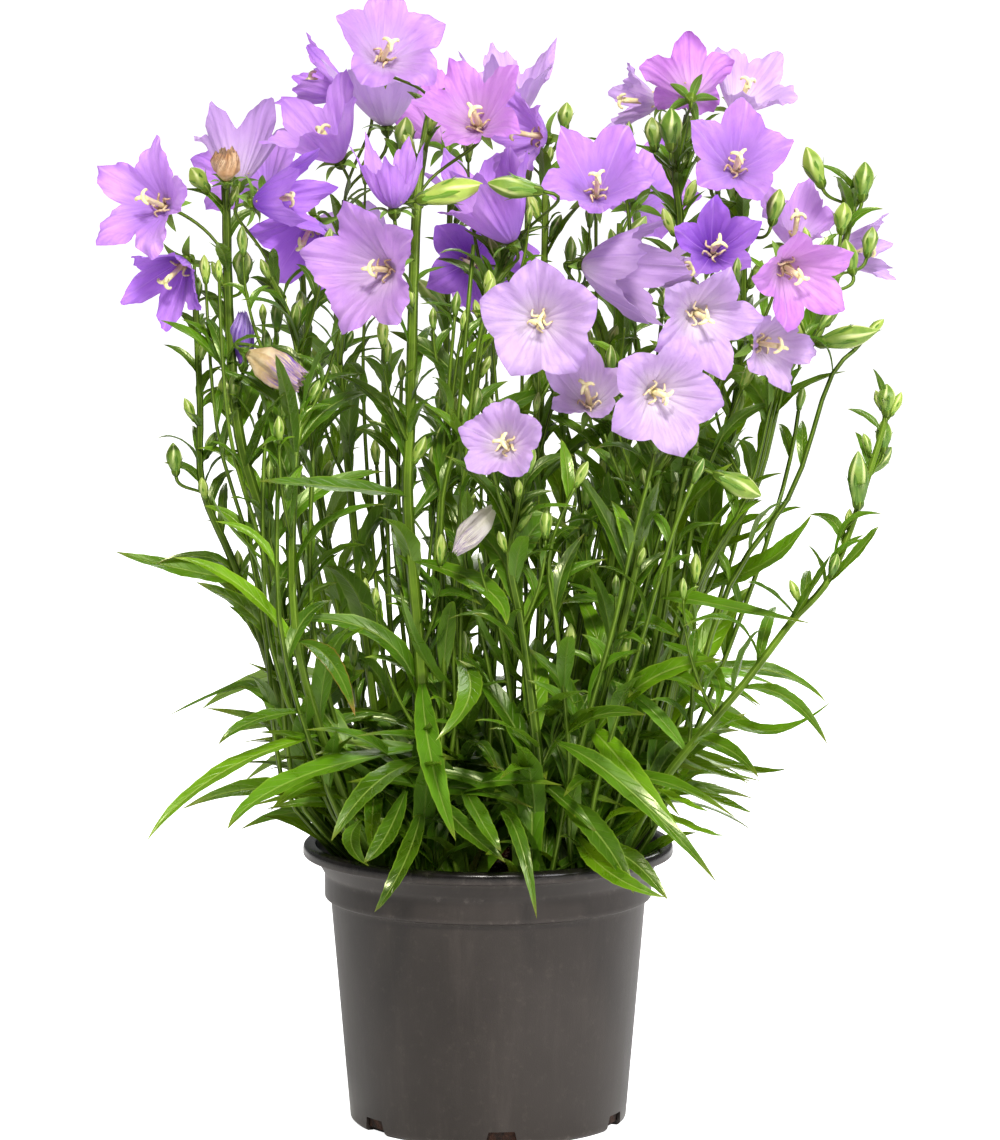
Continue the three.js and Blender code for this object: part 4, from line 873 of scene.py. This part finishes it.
for name, shape in calyx_shapes.items():
    if shape.count:
        add_piece(f"calyces_{name}", shape, [green_stem, sepal_green], "foliage")

# Buds: closed flowers, each in its own cup on a short stalk. The corolla is furled into a ridged, pointed
# green body with paler seams, and the sepals stand round it with their tips free.

AXIL_BUDS = 6
TIP_ROOM, MIDDLE_ROOM = 0.2, 1.6  # how near the plain model a bud's or a leaf's tip and middle lie
DEPTH_SHIFTS = [0, 5, -5, 10, -10, 15, -15, 22, -22, 30, -30, 40]
BUDS = [  # stem, foot, tip, width
    ["c", [-80, -20, 447], [-80, -20, 460], 9],
    ["d", [-38, -8, 451], [-37, -8, 464], 9],
    ["d", [-27, -38, 430], [-2, -38, 436], 11],
    ["f", [20, -38, 434], [0, -38, 437], 10],
    ["b", [-111, -18, 393], [-111, -18, 405], 9],
    ["m", [101, -28, 437], [100, -28, 454], 12],
    ["k", [83, -8, 453], [83, -8, 468], 10],
    ["k", [76, 14, 451], [75, 14, 463], 8],
    ["n", [151, 2, 435], [145, 2, 450], 9],
    ["n", [171, 6, 429], [172, 6, 443], 9],
    ["m", [129, -18, 419], [132, -18, 432], 8],
    ["n", [161, 8, 414], [162, 8, 425], 8],
    ["n", [153, -22, 363], [176, -22, 368], 10],
    ["i", [39, -45, 340], [60, -45, 341], 11],
    ["l", [105, -68, 306], [122, -68, 298], 10],
    ["o", [177, -77, 338], [177, -77, 349], 8],
    ["o", [164, -87, 298], [164, -87, 320], 9],
    ["o", [176, -79, 321], [176, -79, 333], 7],
    ["o", [171, -74, 310], [180, -74, 320], 7],
    ["b", [-142, -22, 305], [-143, -22, 317], 7],
    ["n", [166, 2, 395], [163, 2, 408], 8],
    ["n", [174, 10, 402], [176, 10, 413], 7],
    ["a", [-129, -8, 433], [-135, -8, 441], 8],
    ["g", [35, 8, 460], [36, 8, 470], 7],
    ["a", [-118, -25, 335], [-119, -25, 349], 8],
    ["q", [-92, 84, 404], [-94, 86, 420], 8],
    ["r", [-22, 76, 372], [-34, 80, 384], 8],
    ["s", [66, 76, 400], [74, 74, 414], 8],
]

plain_growth = {name: surface_of(f"leafy_stem_{name}") for name in CROWNS}
bud_green, tree, output, marked = marked_material("bud_green")
tone = put(tree, "Group", rgb("3f6e14"), rgb("b4cc58"), 120.0, 0.3, marked["Z"], node_tree=mottle)
seam = times(tree, between(tree, marked["X"], 0.55, 0.95), between(tree, marked["Y"], 0.15, 0.6))
body = mixed(tree, times(tree, seam, 0.65), tone, rgb("e6eca4"))
skin = put(tree, "Group", 1200.0, 0.3, 0.0003, node_tree=grain)
coat(tree, output, body, skin, "c8dc60", 0.15, Roughness=0.4)


def bud(shape, top, way, length, width, turn, tone, item):
    """A furled bud in its cup, with its sepals round it."""
    size, (rings, sides) = width / 10, (16, 20) if width > 6 else (9, 10)
    cup(shape, top, way, size, tone)
    x = np.linspace(-0.06, 1, rings)
    swell = np.where(x < 0.45, 0.5 + 0.5 * np.sin(np.clip(x + 0.06, 0, 0.51) / 0.51 * math.pi / 2),
                     np.cos(np.clip(x - 0.45, 0, 0.55) / 0.55 * math.pi / 2 * 0.97) ** 0.8)
    side, other = crossways(way)
    turns = full_turn(sides)
    wave = np.cos(5 * turns + math.pi)
    reach = width / 2 * swell[:, None] * (1 + 0.09 * wave)
    middle = top + (way * length) * x[:, None, None]
    points = ring_about(middle, side, other, reach, turns + turn + 0.5 * x[:, None])
    marks = np.stack(np.broadcast_arrays((1 + wave) / 2, x[:, None], tone), -1)
    shape.add(points, [grid(rings, sides, True)], 2, marks)
    sepals(shape, top, way, turn, size, 0.72 * width, 0.6 * length, 0.3 * width, tone, 0.5, item)


bud_shapes = {name: Shape() for name in CROWNS}
for number, (letter, foot, tip, width) in enumerate(BUDS):
    home = plain_growth[crown_of[letter]]
    for shift in DEPTH_SHIFTS:
        top, end = (np.array(point, float) + (0, shift, 0) for point in (foot, tip))
        if distance(home, end) < TIP_ROOM:
            break
    else:
        continue
    way = unit(end - top)
    into = bud_shapes[crown_of[letter]]
    stalk(into, letter, top, way, 12, width / 10, draw(number, 25))
    ripe = 1 if width > 10 else 0.6 * draw(number, 25)
    bud(into, top, way, np.linalg.norm(end - top), width, foot[0], ripe, 80 + number)

# Each shoot ends in a small bud where there is room for one.
for number, (letter, path, *_) in enumerate(shoots):
    way, width = unit(path[-1] - path[-3]), 3.4 + 2.2 * draw(number, 45)
    if distance(flowers, path[-1] + 10 * way) > 2.5 and (path[-1] + 12 * way < high).all():
        top = path[-1] + 0.45 * width * way
        bud(bud_shapes[crown_of[letter]], top, way, 2.3 * width, width, number, draw(number, 46), 200 + number)
# Small buds also sit against the upper stems.
for c, letter in enumerate(STEMS):
    for k in range(AXIL_BUDS):
        mine = 8000 + 10 * c + k
        turn, width = k * GOLDEN_TURN + 2 * c, 3.6 + 2 * draw(mine, 2)
        out = heading(turn)
        base = catmull(stem_curve[letter], 0.62 + 0.36 * (k + draw(mine, 1)) / AXIL_BUDS)
        way = unit(out * 0.45 + (0, 0, 1))
        top = base + out * (1 + width / 2) + (0, 0, 4)
        if min(distance(flowers, top + step * way) for step in (0, 4, 9)) > 3 and (top + 10 * way < high).all():
            into = bud_shapes[crown_of[letter]]
            tube(into, [base, base + out * 1.5 + (0, 0, 1), top - way * 1.5], 0.6, 6, 0, 0.5, 0.06, 3)
            bud(into, top, way, 2.2 * width, width, mine, draw(mine, 46), mine)

for name, shape in bud_shapes.items():
    if shape.count:
        add_piece(f"buds_{name}", shape, [green_stem, sepal_green, bud_green], "foliage")

# Leaves: long narrow blades with a sunken pale rib, slanting side veins, a finely toothed lighter margin and
# a thin curled tip. They spread from each crown as a rosette and climb the stems, shorter and steeper as they go.

BLADE_ACROSS = np.array([-1, -0.72, -0.4, -0.1, 0, 0.1, 0.4, 0.72, 1])  # places from margin to margin
EDGE_LIFT = 0.2
LEAF_ROLL = 0.7
ROLL_DIVIDE = 18
TURN_SHIFTS = [(turn, rise) for turn in (0, 0.5, -0.5, 1, -1, 1.5, -1.5, 2.1, -2.1, 2.7) for rise in (0, 0.3)]
STEM_LEAVES = 3
MORE_STEM_LEAVES = 16
MORE_BASAL_LEAVES = 14
BRACTS = 10
LEAVES = [  # stem, the height at which the leaf leaves it, middle, tip, width
    ["b", 252, [-138, -21, 259], [-170, -24, 267], 10],
    ["c", 200, [-101, -82, 200], [-120, -97, 191], 8],
    ["c", 190, [-118, -90, 177], [-151, -117, 151], 9],
    ["d", 182, [-84, -87, 174], [-115, -120, 157], 14],
    ["d", 176, [-51, -91, 171], [-69, -115, 150], 11],
    ["e", 171, [-52, -57, 153], [-51, -82, 136], 8],
    ["d", 152, [-37, -94, 137], [-51, -104, 115], 9],
    ["d", 211, [-25, -78, 180], [-14, -109, 149], 11],
    ["f", 220, [-8, -83, 211], [-23, -105, 193], 11],
    ["j", 174, [52, -91, 176], [104, -140, 140], 10],
    ["j", 190, [62, -78, 177], [91, -110, 143], 11],
    ["i", 154, [53, -86, 141], [64, -104, 125], 10],
    ["j", 142, [54, -97, 133], [79, -112, 124], 9],
    ["h", 148, [17, -99, 135], [23, -106, 113], 8],
    ["d", 264, [-1, -71, 257], [8, -88, 242], 10],
    ["h", 184, [13, -93, 196], [-5, -116, 206], 8],
    ["i", 225, [40, -50, 241], [51, -56, 262], 20],
    ["l", 247, [96, -71, 251], [144, -98, 244], 9],
    ["k", 247, [97, -30, 218], [125, -58, 199], 9],
    ["l", 229, [101, -70, 219], [100, -88, 203], 7],
    ["n", 202, [123, -59, 191], [154, -68, 207], 7],
    ["o", 211, [133, -95, 211], [150, -113, 193], 7],
    ["l", 185, [99, -77, 187], [121, -107, 173], 9],
    ["n", 178, [95, -65, 176], [118, -83, 171], 8],
    ["m", 170, [99, -44, 159], [120, -57, 153], 8],
    ["o", 165, [86, -92, 164], [98, -116, 163], 7],
    ["o", 155, [90, -101, 154], [106, -121, 153], 7],
    ["m", 183, [114, -29, 169], [136, -45, 172], 7],
    ["o", 186, [103, -91, 197], [113, -104, 204], 8],
    ["m", 246, [128, -6, 261], [148, -8, 283], 13],
    ["m", 264, [123, -15, 276], [135, -19, 299], 8],
    ["o", 237, [143, -99, 259], [152, -103, 275], 7],
    ["o", 263, [165, -95, 278], [172, -96, 288], 6],
    ["a", 260, [-115, -45, 280], [-125, -55, 299], 8],
    ["d", 294, [-66, -66, 302], [-101, -94, 308], 11],
    ["a", 293, [-93, -14, 322], [-101, -4, 345], 10],
    ["c", 231, [-70, -94, 228], [-58, -120, 207], 9],
    ["e", 247, [-87, 2, 246], [-110, 23, 258], 9],
    ["g", 202, [6, -50, 221], [-8, -67, 251], 10],
    ["g", 183, [32, -72, 206], [45, -101, 215], 10],
    ["f", 202, [-30, -60, 227], [-39, -71, 256], 10],
    ["i", 229, [69, -48, 239], [86, -73, 234], 10],
    ["f", 165, [-3, -87, 155], [6, -102, 143], 9],
    ["g", 165, [32, -76, 162], [50, -97, 147], 9],
    ["e", 183, [-68, -13, 188], [-93, -24, 179], 9],
    ["q", 190, [-96, 82, 196], [-138, 104, 176], 11],
    ["r", 176, [-34, 92, 176], [-52, 126, 150], 12],
    ["s", 186, [56, 98, 190], [84, 128, 160], 12],
    ["s", 160, [24, 104, 156], [14, 122, 128], 10],
    ["k", 176, [92, 58, 186], [130, 82, 168], 11],
    ["e", 168, [-78, 44, 168], [-116, 60, 148], 10],
    ["m", 200, [124, 30, 206], [160, 44, 188], 9],
    ["b", 190, [-112, 14, 200], [-150, 30, 182], 9],
    ["r", 236, [-22, 98, 252], [-28, 124, 262], 10],
]

LIP_LEAVES = [  # leaves that arch over the pot's lip: base, middle, tip, width
    [[6, -60, 154], [14, -86, 146], [22, -99, 112], 7],
    [[33, -62, 159], [50, -84, 147], [65, -104, 125], 12],
    [[49, -76, 141], [65, -88, 136], [80, -98, 120], 10],
    [[-37, -58, 163], [-46, -84, 146], [-55, -94, 137], 9],
    [[-57, -72, 152], [-61, -84, 144], [-53, -92, 134], 8],
    [[-22, -60, 159], [-8, -82, 148], [8, -92, 137], 9],
    [[32, -78, 188], [62, -104, 172], [102, -122, 133], 10],
]


def curved(base, middle, tip, shares):
    """Points at shares of a bow from base to tip that passes the middle, and the way the bow runs there."""
    control = 2 * middle - 0.5 * (base + tip)
    s = np.asarray(shares, float)[:, None]
    path = (1 - s) ** 2 * base + 2 * s * (1 - s) * control + s * s * tip
    return path, unit((1 - s) * (control - base) + s * (tip - control))


def blade(shape, base, middle, tip, width, twist, tone, item, finish=0, stations=22):
    """One leaf's blade, rolled to show its upper side, with waves, teeth and a curl at its tip."""
    s = np.linspace(0, 1, stations)
    path, along = curved(base, middle, tip, s)
    level = unit(np.cross(tip - base, (0, 0, 1)))
    roll = twist + LEAF_ROLL * level[1] * np.sign(ROLL_DIVIDE - base[1]) + 0.35 * (draw(item, 10) - 0.5) * (s - 0.4)
    flat = unit(np.cross(level, along))
    side = level * np.cos(roll)[:, None] + flat * np.sin(roll)[:, None]
    lift = unit(np.cross(side, along))
    half = width / 2 * np.maximum(np.sin(math.pi * s ** 0.8).clip(0) ** 0.85, 0.2 * (1 - s) ** 2)
    half *= 1 + 0.035 * np.where(np.arange(stations) % 2, 1, -1) * (s > 0.12)
    phase = 2 * math.pi * draw(item, 11)
    edge = np.abs(BLADE_ACROSS)
    swing = np.sin(2 * math.pi * (2.6 + draw(item, 12)) * s[:, None] + phase + 1.9 * np.sign(BLADE_ACROSS))
    curl = (4 * draw(item, 13) - 2.4) * np.clip((s - 0.78) / 0.22, 0, 1) ** 2 * min(1, width / 8)
    profile = half[:, None] * (EDGE_LIFT * edge ** 1.3 + 0.1 * edge ** 2 * swing) + curl[:, None]
    profile = profile - 0.45 * np.exp(-(BLADE_ACROSS / 0.12) ** 2) * np.minimum(1, half[:, None] / 2)
    ribbon(shape, path, half, side, lift, BLADE_ACROSS, profile, finish, tone)


def bowed(base, turn, slope, length, bow):
    """Middle and tip of a leaf that leaves a point at a turn and a slope, and bows down along its length."""
    middle, tip = (base + share * length * (heading(turn) * math.cos(rise) + (0, 0, math.sin(rise)))
                   for share, rise in ((0.52, slope + bow / 2), (1, slope - bow / 2)))
    return middle, tip


def posture_of(home, base, postures):
    """The first posture, as middle and tip, that the plain model holds."""
    for middle, tip in postures:
        if distance(home, tip) < TIP_ROOM and distance(home, curved(base, middle, tip, [0.5])[0][0]) < MIDDLE_ROOM:
            return middle, tip
    return None


leaf_finishes = [leafy(*tones, rough=0.31) for tones in (
    ("leaf_green", "0e2602", "588a14", "a8c05c", "84a430", "7c7c2c", "54742c", "80a808"),
    ("leaf_reddened", "183404", "528212", "a8c05c", "b0603a", "a8583c", "54742c", "80a808"),
    ("leaf_young", "204c04", "6c9c12", "b8cc68", "98b438", "98a83c", "6c8c3c", "98c010"))]
leaf_shapes = {name: Shape() for name in CROWNS}


def twist_of(item):
    """How far a leaf is turned about its own length."""
    return 0.6 * (draw(item, 9) - 0.5)


def place_leaf(letter, name, t, base, postures, width, twist, item, finish, **more):
    """A leaf that the plain model has too, in the posture that it has there."""
    found = posture_of(plain_growth[name], base, postures)
    if found is not None:
        start = base if t is None else catmull(stem_curve[letter], t)
        blade(leaf_shapes[name], start, *found, width, twist, draw(item, 14), item, finish, **more)


for number, (letter, height, middle, tip, width) in enumerate(LEAVES):
    t = at_height(letter, height)
    middle, tip = np.array(middle, float), np.array(tip, float)
    postures = [(middle + (0, 0.6 * shift, 0), tip + (0, shift, 0)) for shift in DEPTH_SHIFTS]
    finish = 1 if tip[0] == -58 else 2 if draw(number, 15) > 0.72 else 0
    item = 900 + number
    place_leaf(letter, crown_of[letter], t, on_stem(letter, t), postures, width, twist_of(height), item, finish)

for c, (name, ((x, y), letters, leaves, face)) in enumerate(CROWNS.items()):
    base = np.array([x, y, CROWN_TOP - 3.0])
    for k in range(leaves):
        mine = 20 * c + k
        turn = math.radians(face) + (k - (leaves - 1) / 2) * 0.62 + 0.3 * (draw(mine, 3) - 0.5)
        slope, length = 0.75 + 0.35 * draw(mine, 4), 62 + 34 * draw(mine, 5)
        postures = [bowed(base, turn + shift, slope + rise, length, 0.7) for shift, rise in TURN_SHIFTS]
        place_leaf(None, name, None, base, postures, 8 + 3 * draw(mine, 6), twist_of(mine), mine, 0)

for c, letter in enumerate(STEMS):
    for k in range(STEM_LEAVES):
        mine = 400 + 20 * c + k
        share = (k + 0.6 * draw(mine, 7)) / STEM_LEAVES
        t = 0.22 + 0.64 * share
        slope, length = 0.35 + 0.7 * share, (64 - 38 * share) * (0.85 + 0.3 * draw(mine, 8))
        base = on_stem(letter, t)
        turn = k * GOLDEN_TURN + c
        postures = [bowed(base, turn + shift, slope + rise, length, 0.5) for shift, rise in TURN_SHIFTS]
        place_leaf(letter, crown_of[letter], t, base, postures, 8 - 4 * share, twist_of(mine), mine, 0, stations=16)


def small_leaf(name, mine, base, turn, slope, length, bow, width, tone, finish=0, stations=11, room=3, above=0):
    """A leaf that fills in, left out where it comes near a flower, the pot or the mix, or hides the lip."""
    middle, tip = bowed(base, turn, slope, length, bow)
    path, _ = curved(base, middle, tip, [0.3, 0.5, 0.7, 0.85, 1])
    within = (path > low + 2).all() and (path < high - 2).all() and (tip[2] > above or tip[1] > -30)
    if within and all(distance(flowers, point) > room for point in path):
        blade(leaf_shapes[name], base, middle, tip, width, twist_of(mine), tone, mine, finish, stations)


for c, letter in enumerate(STEMS):
    count, size = (9, 0.62) if letter in LONE_STEMS else (MORE_STEM_LEAVES, 1)
    for k in range(count):
        mine = 2000 + 40 * c + k
        share = (k + draw(mine, 7)) / count
        base = catmull(stem_curve[letter], 0.16 + 0.78 * share)
        length = size * (94 - 60 * share) * (0.72 + 0.4 * draw(mine, 8))
        width = size * (16 - 10 * share) * (0.72 + 0.38 * draw(mine, 6))
        small_leaf(crown_of[letter], mine, base, k * GOLDEN_TURN + 2.1 * c, 0.6 + 0.6 * draw(mine, 4), length,
                   0.1 + 0.4 * draw(mine, 5), width, draw(mine, 14), 2 if draw(mine, 15) > 0.8 else 0, 14)

for c, (letter, path, leaves, size) in enumerate(shoots):
    for k in range(leaves):
        mine = 7000 + 20 * c + k
        share = (k + draw(mine, 7)) / leaves
        base = path[int(share * (len(path) - 1))]
        length = size * (1.1 - 0.6 * share) * (0.7 + 0.5 * draw(mine, 8))
        width = (0.13 + 0.06 * draw(mine, 6)) * length + 1
        small_leaf(crown_of[letter], mine, base, k * GOLDEN_TURN + 1.7 * c, 0.75 + 0.5 * draw(mine, 4), length,
                   0.2 + 0.3 * draw(mine, 5), width, draw(mine, 14), 2 if draw(mine, 15) > 0.75 else 0)

for c, letter in enumerate(STEMS):
    for k in range(BRACTS):
        mine = 9000 + 40 * c + k
        base = catmull(stem_curve[letter], 0.66 + 0.33 * (k + draw(mine, 7)) / BRACTS)
        small_leaf(crown_of[letter], mine, base, k * GOLDEN_TURN + c, 0.7 + 0.5 * draw(mine, 4),
                   16 + 13 * draw(mine, 8), 0.2 + 0.3 * draw(mine, 5), 3.6 + 2.2 * draw(mine, 6),
                   0.8 * draw(mine, 14), room=1.5)

for c, (name, ((x, y), *_)) in enumerate(CROWNS.items()):
    for k in range(MORE_BASAL_LEAVES if y > -40 else 8):
        mine = 3000 + 40 * c + k
        base = np.array([x, y, CROWN_TOP - 4.0])
        small_leaf(name, mine, base, k * GOLDEN_TURN + c, 0.55 + 0.7 * draw(mine, 4), 62 + 50 * draw(mine, 5),
                   0.4 + 0.5 * draw(mine, 3), 10 + 5 * draw(mine, 6), 0.8 * draw(mine, 14), stations=18, above=152)

for number, (*arch, width) in enumerate(LIP_LEAVES):
    blade(leaf_shapes["front"], *np.array(arch, float), width, 0, 0.5 * draw(number, 16), 950 + number)

for name, shape in leaf_shapes.items():
    add_piece(f"leaves_{name}", shape, leaf_finishes, "foliage")

# Blooms: each corolla is one thin bell of five joined lobes, from a half-closed tube to a wide dish, violet
# with fine veins. In its throat stand five curled anthers and a cream style that ends in three curled lobes.

LOBES = 5
LOBE_STEPS = 24
RINGS = 24
TINTS = {  # throat, body, edge, veins, light through it
    "pale": ("f0e2f8", "cfa8ea", "e0c4f1", "a478d6", "d6aef0"),
    "soft": ("e2c8f2", "ca95ea", "deb4f0", "9a66d6", "d298f0"),
    "violet": ("ba8eea", "c88af6", "e4b6fc", "864cd4", "d694fe"),
    "deep": ("6a2ab8", "a464e8", "d49cfc", "6c2cc4", "bc74f8"),
    "pink": ("e0b6e6", "c87edf", "e0a8ec", "9a4ac2", "d486ea"),
}


def petal(name, throat, body, edge, vein, glow):
    """A corolla's finish: the colour runs from throat to edge, in streaks and veins, and light passes through."""
    material, tree, output, marked = marked_material(name)
    across, along, item = marked
    tone = put(tree, "Group", rgb(body), rgb(edge), 38.0, 0.75, item, node_tree=mottle)
    colour = mixed(tree, times(tree, between(tree, along, 0.6, 1.0), 0.3), tone, rgb(vein))
    colour = mixed(tree, between(tree, along, 0.5, 0.1), colour, rgb(throat))
    spread = times(tree, across, plus(tree, 1.0, along))
    seed = times(tree, item, 37.0)
    place = put(tree, "CombineXYZ", times(tree, spread, 5.0), times(tree, along, 1.3), seed)
    streaks = put(tree, "TexNoise", place, None, 2.6, 5.0, 0.65).outputs[0]
    fine = between(tree, streaks, 0.48, 0.68)
    net = put(tree, "Group", across, along, 5.0, -1.7, 0.05, node_tree=veins)
    lines = plus(tree, times(tree, fine, 0.22), times(tree, net.outputs[1], 0.1))
    back = put(tree, "NewGeometry").outputs["Backfacing"]
    lines = plus(tree, lines, times(tree, net, 0.34), clamp=True)
    colour = mixed(tree, lines, colour, rgb(vein))
    colour = mixed(tree, times(tree, times(tree, back, net), 0.8), colour, rgb(edge))
    skin = put(tree, "Group", 420.0, 0.3, 0.0006, node_tree=grain)
    raised = maths(tree, "SUBTRACT", 0.0, plus(tree, fine, net))
    bump = put(tree, "Bump", 0.5, 0.0006, None, raised, skin)
    coat(tree, output, colour, bump, glow, 0.42, Roughness=0.55, Sheen_Weight=0.15)
    return material


petals = {tint: petal(f"petal_{tint}", *colours) for tint, colours in TINTS.items()}
pistil_cream = crumbly("pistil_cream", "e9e08a", "fbf6c4", 400.0, 0.6, 0.0003)
anther_beige = crumbly("anther_beige", "a87c5c", "f8f0bc", 500.0, 0.5, 0.0003)


def lobe_edge(u, cut):
    """Reach of the rim from a lobe's tip, u = 0, in a slightly bowed line to the notch between two lobes, u = 1."""
    half = math.pi / LOBES
    notch = cut * math.sin(half)
    straight = notch / (notch * np.cos(u * half) + (1 - cut * math.cos(half)) * np.sin(u * half))
    return straight + 0.2 * (1 - cut) * np.sin(math.pi * u) + 0.03 * (1 - u) ** 8


def outline_at(opening, s):
    """Radius and height, as shares, at s from a corolla's throat to the tip of a lobe."""
    bell = 0.13 + 0.62 * (1 - (1 - s) ** 3) + 0.25 * s ** 3
    dish = 0.13 + 0.87 * s ** 0.9
    return bell + (dish - bell) * opening, s ** 1.25 + (1 - (1 - s) ** 2 - s ** 1.25) * opening


for key, (letter, top, facing, width, depth, opening, cut, degrees, _, tint) in BLOOMS.items():
    number = int(key)
    way = unit(np.array(facing, float))
    side, other = crossways(way)
    mouth = np.array(top, float) + way * 0.3
    roll = math.radians(degrees)
    turns = full_turn(LOBES * LOBE_STEPS)
    signed = (turns * LOBES / math.pi + 1) % 2 - 1
    lobe = (np.floor(turns * LOBES / (2 * math.pi) + 0.5) % LOBES).astype(int)
    skew, long, droop, tilt = (np.array([draw(number, use + k) for k in range(LOBES)])[lobe]
                               for use in (50, 55, 40, 60))
    u = np.abs(signed + 0.35 * (skew - 0.5) * (1 - signed ** 2))
    reach = lobe_edge(u, cut) * (1 + (0.08 * long - 0.02) * (1 - u ** 2))
    share = np.linspace(0, 1, RINGS)[:, None]
    s = share * reach
    radius, rise = outline_at(opening, s)
    ahead, higher = outline_at(opening, s + 0.02)
    slope = np.arctan2(depth * (higher - rise), width / 2 * (ahead - radius))
    edge = np.clip((share - 0.72) / 0.28, 0, 1)
    shift = 0.35 - 0.8 * np.exp(-(u / 0.13) ** 2) * np.sin(share * math.pi) ** 0.7
    shift = shift + 1.3 * u ** 6 * np.clip(share - 0.15, 0, 1) * (1 - 0.5 * share)
    shift = shift - 0.7 * np.exp(-((u - 0.42 - 0.2 * skew) / 0.09) ** 2) * np.sin(share * math.pi)
    shift = shift - edge ** 2 * (0.8 + 3 * droop) * (1 - u ** 2) * (0.5 + 0.5 * opening)
    crumple = 0.9 + 1.1 * draw(number, 49)
    ripples = 1.2 * np.sin(7 * turns + number) + 0.5 * np.sin(23 * turns + 2 * number)
    ripples = ripples + 0.22 * np.sin(47 * turns + 9 * share)
    wave = crumple * share ** 2.5 * ripples + 9 * (tilt - 0.5) * share ** 2 * (1 - u ** 2)
    across = width / 2 * radius - shift * np.sin(slope)
    height = depth * rise + wave + shift * np.cos(slope)
    points = ring_about(mouth + way * height[..., None], side, other, across, turns + roll)
    marks = np.stack(np.broadcast_arrays(signed, s, draw(number, 26) + 0.07 * lobe), -1)
    shape = Shape()
    shape.add(points, [grid(RINGS, len(turns), True), end_caps(RINGS, len(turns))[0]], 0, marks)

    tall = min(18, 0.82 * depth)
    lean = side * 0.6 * (draw(number, 27) - 0.5) + other * 0.6 * (draw(number, 28) - 0.5)
    steps = np.linspace(0, 1, 8)
    style = [mouth + way * (0.6 + (tall - 2) * v) + lean * 3 * v * v for v in steps]
    tube(shape, style, 1.15 + 0.25 * steps ** 3, 10, 1, 0.3, 0.08)
    arc = np.linspace(0, 3.1, 9)
    for k in range(3):
        turn = 2 * math.pi * k / 3 + 5 * draw(number, 29)
        out = side * math.cos(turn) + other * math.sin(turn)
        lobe_path = [style[-1] + out * 2.2 * (1 - math.cos(a)) * 0.9 + way * 2.2 * math.sin(a) for a in arc]
        tube(shape, lobe_path, np.linspace(1.2, 0.6, 9), 8, 1, 0.7)
    for k in range(LOBES):
        turn = 2 * math.pi * (k + 0.5) / LOBES + roll
        out = side * math.cos(turn) + other * math.sin(turn)
        around = unit(np.cross(way, out))
        anther = [mouth + out * (1.4 + 4.2 * v) + way * (0.8 + 3.8 * math.sin(v * 2.4))
                  + around * 1.2 * math.sin(v * 5 + 6 * draw(number, 31 + k)) for v in steps]
        tone = 0.3 * draw(number, 36 + k) + (0.7 if tint == "pale" else 0.2)
        tube(shape, anther, 0.75 - 0.35 * steps, 6, 2, tone)
    add_piece(f"flower_{key}", shape, [petals[tint], pistil_cream, anther_beige],
              "petal_violet" if tint == "soft" else f"petal_{tint}", f"bloom_{key}")
